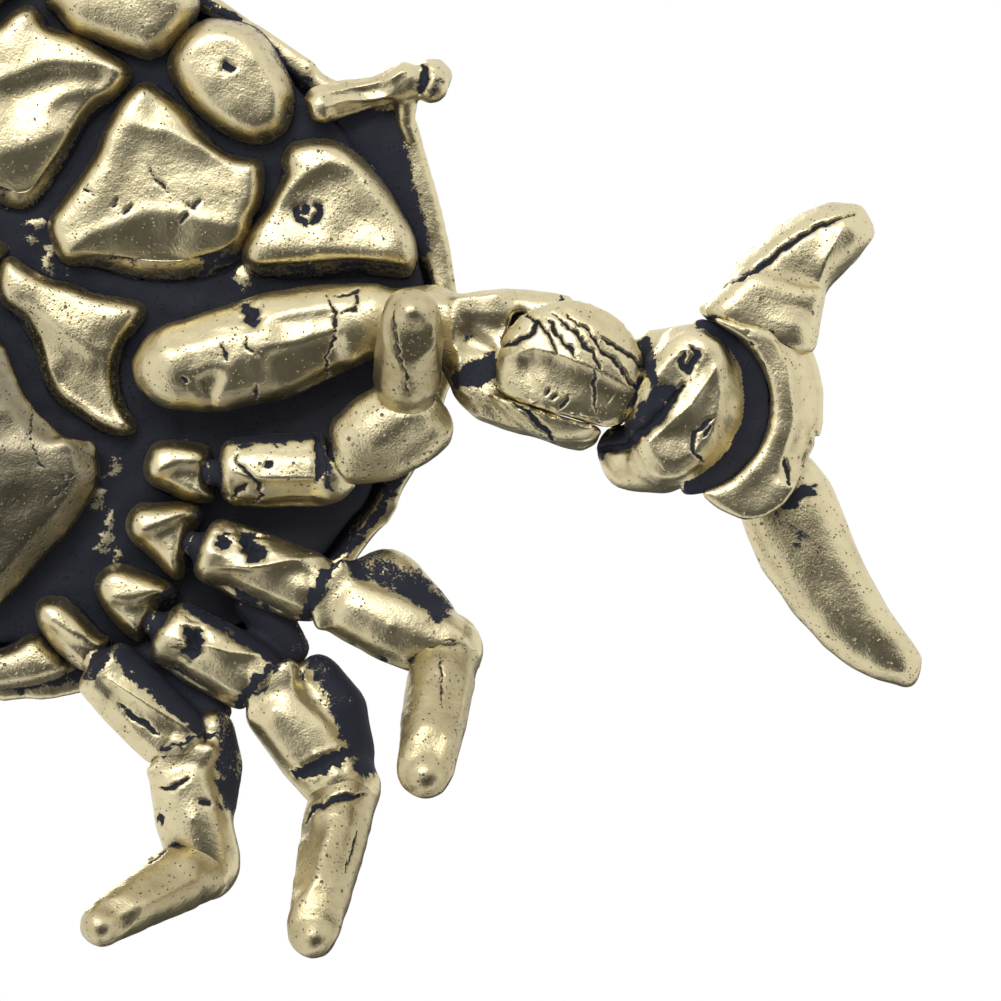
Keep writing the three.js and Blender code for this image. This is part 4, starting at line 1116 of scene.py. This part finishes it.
WRIST_COLLAR = 5.42  # radius of the collar that closes the gap to the palm, painted black as that gap's shade
COLLAR_LEVELS = [(5.1, 6.35), (8.85, 10.3)]  # below and above the link that the palm swings on
COLLAR_INSIDE = 3.6  # the collar is painted black, as shade, from here to its rim
COLLAR_LOW = 4.85
COLLAR_SHADE = 0.9
palm_middle = seen((770, 412))[0]
palm_way = palm_middle - wrist_pin
collar_turns = math.atan2(palm_way[1], palm_way[0]) + np.radians(np.linspace(-84, 84, 25))
collar_ways = np.stack([np.cos(collar_turns), np.sin(collar_turns)], axis=1)
collar_rim = np.vstack([wrist_pin + WRIST_COLLAR * collar_ways, wrist_pin[None]])
wrist_collars = [slab(collar_rim, *levels) for levels in COLLAR_LEVELS]
FACE_STEPS = [(1, 6.3), (1, 5.4), (0.95, 4.9), (0.8, 4.3), (0.5, 3.65), (0.2, 3.3)]
FACE_OVAL = (4.1, 5.0, 9)
wrist_face = cap(*FACE_OVAL, limits=(6.9, 13.2), rears=(-5, 5), steps=FACE_STEPS)
wrist_lower_line = seen((620, 449), (632, 458), (662, 452))
wrist_lower = sausage(wrist_lower_line, halves=[1.45, 2.0, 2.6], levels=ARM_MIDDLE, half_height=3.4)
wrist_upper_line = seen((655, 352), (680, 356))
wrist_upper = sausage(wrist_upper_line, halves=[1.5, 1.9], levels=ARM_MIDDLE, half_height=3.2)
wrist_hook = [
    seen((713, 418), (694, 433), (692, 456), (704, 461)),
    seen((711, 427), (702, 439)),
]
wrist_ring = seen((688, 345), (696, 356), (688, 372), (680, 366), (682, 353))
wrist_fold = seen((596, 451), (625, 447), (648, 427), (684, 386))
wrist_neck_shadow = seen((642, 342), (650, 378))
wrist_fold_shadow = seen((655, 394), (640, 425), (600, 452))
wrist_pit = seen((668, 393))
wrist_crest = seen((645, 445), (690, 405), (722, 358))
wrist_metal = [*wrist_collars, wrist_face, wrist_lower, wrist_upper]
wrist = Casting("wrist_left", skin=0.27, rounding=4, added=wrist_metal, seed=63)
for cut in wrist_hook:
    wrist.groove(cut, width=0.28, depth=0.15)
wrist.groove(wrist_ring, width=0.35, depth=0.2)
wrist.groove(wrist_fold, width=0.5, depth=0.4)
wrist.darken_along(wrist_neck_shadow, width=0.9)
wrist.darken_along(wrist_fold_shadow, width=1.3)
wrist.dent(wrist_pit, size=0.6, depth=0.2)
wrist.ridge(wrist_crest, reach=0.9, left=0.25, right=0.2)
# Painted shade on the collar where it faces the palm.
toward_palm = (wrist.points[:, :2] - wrist_pin) @ palm_way / np.hypot(*palm_way)
from_pin = np.hypot(*(wrist.points[:, :2] - wrist_pin).T)
on_collar = (from_pin > COLLAR_INSIDE) & (toward_palm > 0.5) & (wrist.points[:, 2] > COLLAR_LOW)
wrist.patina_and_shade = np.where(on_collar, COLLAR_SHADE, wrist.patina_and_shade)
wrist.settle_pair(POLISHED)

palm_lobe_outline = seen((700, 494), (716, 507), (742, 519), (762, 517), (781, 506), (798, 482),
                         (770, 480), (730, 482))
palm_lobe = slab(palm_lobe_outline, low=3.7, high=5.3)
palm_cut = seen((785, 458), (787, 484))
palm_crest = seen((760, 318), (786, 368), (792, 420), (774, 478))
palm_dots = seen((743, 322), (747, 333), (750, 345), (754, 357), (757, 370), (760, 383))
palm = Casting("palm_left", skin=0.29, rounding=7, added=[palm_lobe], swell=0.06, seed=64)
palm.groove(palm_cut, width=0.25, depth=0.2)
palm.ridge(palm_crest, reach=1.3, left=0.35, right=0.1)
palm.dent(palm_dots, size=0.16, depth=0.15, dark=0.5)
palm.pitted[:] = 0.35
palm.settle_pair(POLISHED)

FIXED_RUBBED = 30  # rubbing passes
FINGER_RUBBED = 12
fixed_outline = smooth_loop(
    (693, 316), (732, 269), (761, 238), (796, 216), (829, 207), (858, 209), (873, 222), (871, 238),
    (858, 255), (838, 271), (827, 293), (817, 319), (813, 350), (812, 390), (770, 400), (715, 345),
    grow=0.7,
)
fixed_line = seen((802, 260), (839, 236), (855, 228))
fixed_tip = sausage(fixed_line, halves=[2.3, 1.7, 1.12], levels=ARM_MIDDLE, half_height=1.9)
finger_root_outline = seen((704, 312), (745, 272), (824, 292), (812, 352), (765, 348), (730, 330))
finger_root = slab(finger_root_outline, low=4.2, high=10.7)
fixed_cut = seen((725, 287), (751, 271), (771, 256), (796, 238), (816, 224), (854, 214))
fixed_crest = seen((845, 222), (825, 260), (808, 330))
fixed = Casting("fixed_finger_left", skin=0.26, rounding=9, added=[finger_root, fixed_tip], swell=0.16,
                seed=65)
fixed.pillow(fixed_outline, reach=2.2, middle=ARM_MIDDLE)
fixed.soften(FIXED_RUBBED)
fixed.groove(fixed_cut, width=0.26, depth=0.3)
fixed.ridge(fixed_crest, reach=1.0, left=0.1, right=0.3)
fixed.pitted[:] = 0.4
fixed.settle_pair(POLISHED)

moving_outline = smooth_loop(
    (742, 522), (770, 570), (800, 620), (830, 650), (862, 673), (902, 690), (922, 682), (920, 655),
    (890, 610), (868, 572), (850, 540), (830, 492), (812, 455), (770, 440), (735, 480),
    grow=0.7,
)
moving_line = seen((857, 622), (885, 652), (906, 672))
moving_tip = sausage(moving_line, halves=[2.0, 1.45, 1.0], levels=ARM_MIDDLE, half_height=1.7)
finger_root_shadow = seen((775, 505), (792, 500), (808, 490))
finger_shadow = seen((780, 520), (800, 545), (812, 552))
moving = Casting("moving_finger_left", skin=0.27, rounding=9, added=[moving_tip], swell=0.09, seed=66)
moving.pillow(moving_outline, reach=2.4, middle=ARM_MIDDLE)
moving.soften(FINGER_RUBBED)
moving.darken_along(finger_root_shadow, width=1.0)
moving.darken_along(finger_shadow, width=1.6, dark=0.42)
moving.pitted[:] = 0.45
moving.settle_pair(POLISHED)

# Studio: a white surround, soft lamps below and above, dark cards that give the metal something to reflect,
# and a pale floor that is only seen from above, because the photograph looks up at the crab from below.
IMAGE_UP = Vector((-math.sin(PHOTO_TURN), -math.cos(PHOTO_TURN), 0))
IMAGE_RIGHT = Vector((math.cos(PHOTO_TURN), -math.sin(PHOTO_TURN), 0))
DOWN = Vector((0, 0, -1))
FRAME_PIXELS = 1001
FRAME_WIDTH = FRAME_PIXELS * PHOTO_SCALE * MM
VIEW_HEIGHT = 6 * MM  # level of the crab that the frame's width is measured at
LAMP_HEIGHT = 10 * MM  # level of the crab that lamps and cards face
LENS = 200
SENSOR = 36
WHITE = (1, 1, 1, 1)
FLOOR_GREY = (0.86, 0.86, 0.86, 1)
FLOOR_SIZE = 0.8
FLOOR_GAP = 0.05 * MM

scene = bpy.context.scene
scene.view_settings.view_transform = "Standard"
middle = seen((FRAME_PIXELS / 2, FRAME_PIXELS / 2))[0] * MM
target = Vector((middle[0], middle[1], VIEW_HEIGHT))

camera = bpy.data.objects.new("camera", bpy.data.cameras.new("camera"))
camera.data.lens = LENS
camera.data.sensor_width = SENSOR
camera.data.clip_start = 0.01
camera.location = target + DOWN * (FRAME_WIDTH * LENS / SENSOR)
camera.rotation_euler = Matrix((IMAGE_RIGHT, IMAGE_UP, DOWN)).transposed().to_euler()
scene.collection.objects.link(camera)
scene.camera = camera


def aim(thing, way, distance):
    """Puts a lamp or card that faces -Z in a direction from the crab's middle, turned to face it."""
    way = way.normalized()
    thing.location = Vector((0, 0, LAMP_HEIGHT)) + way * distance
    thing.rotation_euler = way.to_track_quat("Z", "Y").to_euler()
    scene.collection.objects.link(thing)


def lamp(name, way, distance, width, depth, radiance):
    light = bpy.data.lights.new(name, "AREA")
    light.shape = "RECTANGLE"
    light.size = width
    light.size_y = depth
    light.energy = radiance * math.pi * width * depth
    made = bpy.data.objects.new(name, light)
    made.visible_camera = False
    aim(made, way, distance)


def sheet(name, width, depth):
    """A flat rectangle with an empty material, and the nodes of that material."""
    mesh = bpy.data.meshes.new(name)
    x, y = width / 2, depth / 2
    mesh.from_pydata([(-x, -y, 0), (x, -y, 0), (x, y, 0), (-x, y, 0)], [], [(0, 1, 2, 3)])
    material = bpy.data.materials.new(name)
    material.use_nodes = True
    mesh.materials.append(material)
    return bpy.data.objects.new(name, mesh), Shade(material.node_tree)


def card(name, way, distance, width, depth, grey):
    made, start = sheet(name, width, depth)
    paint = start.node("ShaderNodeEmission", {}, {"Color": (grey, grey, grey, 1)})
    start.feed(start.tree.nodes["Material Output"].inputs["Surface"], paint)
    made.visible_camera = False
    made.visible_diffuse = False
    made.visible_shadow = False
    aim(made, way, distance)


lamp("key", DOWN + 0.6 * IMAGE_UP - 0.15 * IMAGE_RIGHT, distance=0.35, width=0.2, depth=0.1, radiance=6)
lamp("top", -DOWN + 0.5 * IMAGE_UP - 0.4 * IMAGE_RIGHT, distance=0.4, width=0.2, depth=0.12, radiance=4)
card("camera_card", DOWN, distance=0.32, width=0.16, depth=0.12, grey=0.4)
card("lower_card", DOWN - 0.62 * IMAGE_UP + 0.4 * IMAGE_RIGHT, distance=0.25, width=0.42, depth=0.36,
     grey=0.055)
card("upper_card", -DOWN - 0.8 * IMAGE_UP + 0.4 * IMAGE_RIGHT, distance=0.25, width=0.3, depth=0.3,
     grey=0.05)

world = bpy.data.worlds.new("white_surround")
world.use_nodes = True
scene.world = world
start = Shade(world.node_tree)
paths = [start.node("ShaderNodeLightPath", {}, {}, ray)
         for ray in ("Is Camera Ray", "Is Glossy Ray", "Is Transmission Ray")]
bright = paths[0].larger(paths[1]).larger(paths[2])
soft = start.node("ShaderNodeBackground", {}, {"Color": WHITE, "Strength": 0.6})
white = start.node("ShaderNodeBackground", {}, {"Color": WHITE, "Strength": 1})
surround = start.node("ShaderNodeMixShader", {}, {0: bright, 1: soft, 2: white})
start.feed(world.node_tree.nodes["World Output"].inputs["Surface"], surround)

floor, start = sheet("floor", FLOOR_SIZE, FLOOR_SIZE)
below = start.node("ShaderNodeNewGeometry", {}, {}, "Backfacing")
pale = start.node("ShaderNodeBsdfDiffuse", {}, {"Color": FLOOR_GREY})
clear = start.node("ShaderNodeBsdfTransparent", {}, {})
paint = start.node("ShaderNodeMixShader", {}, {0: below, 1: pale, 2: clear})
start.feed(start.tree.nodes["Material Output"].inputs["Surface"], paint)
floor.location.z = -FLOOR_GAP
floor.visible_diffuse = False
floor.visible_glossy = False
floor.visible_transmission = False
floor.visible_shadow = False
scene.collection.objects.link(floor)
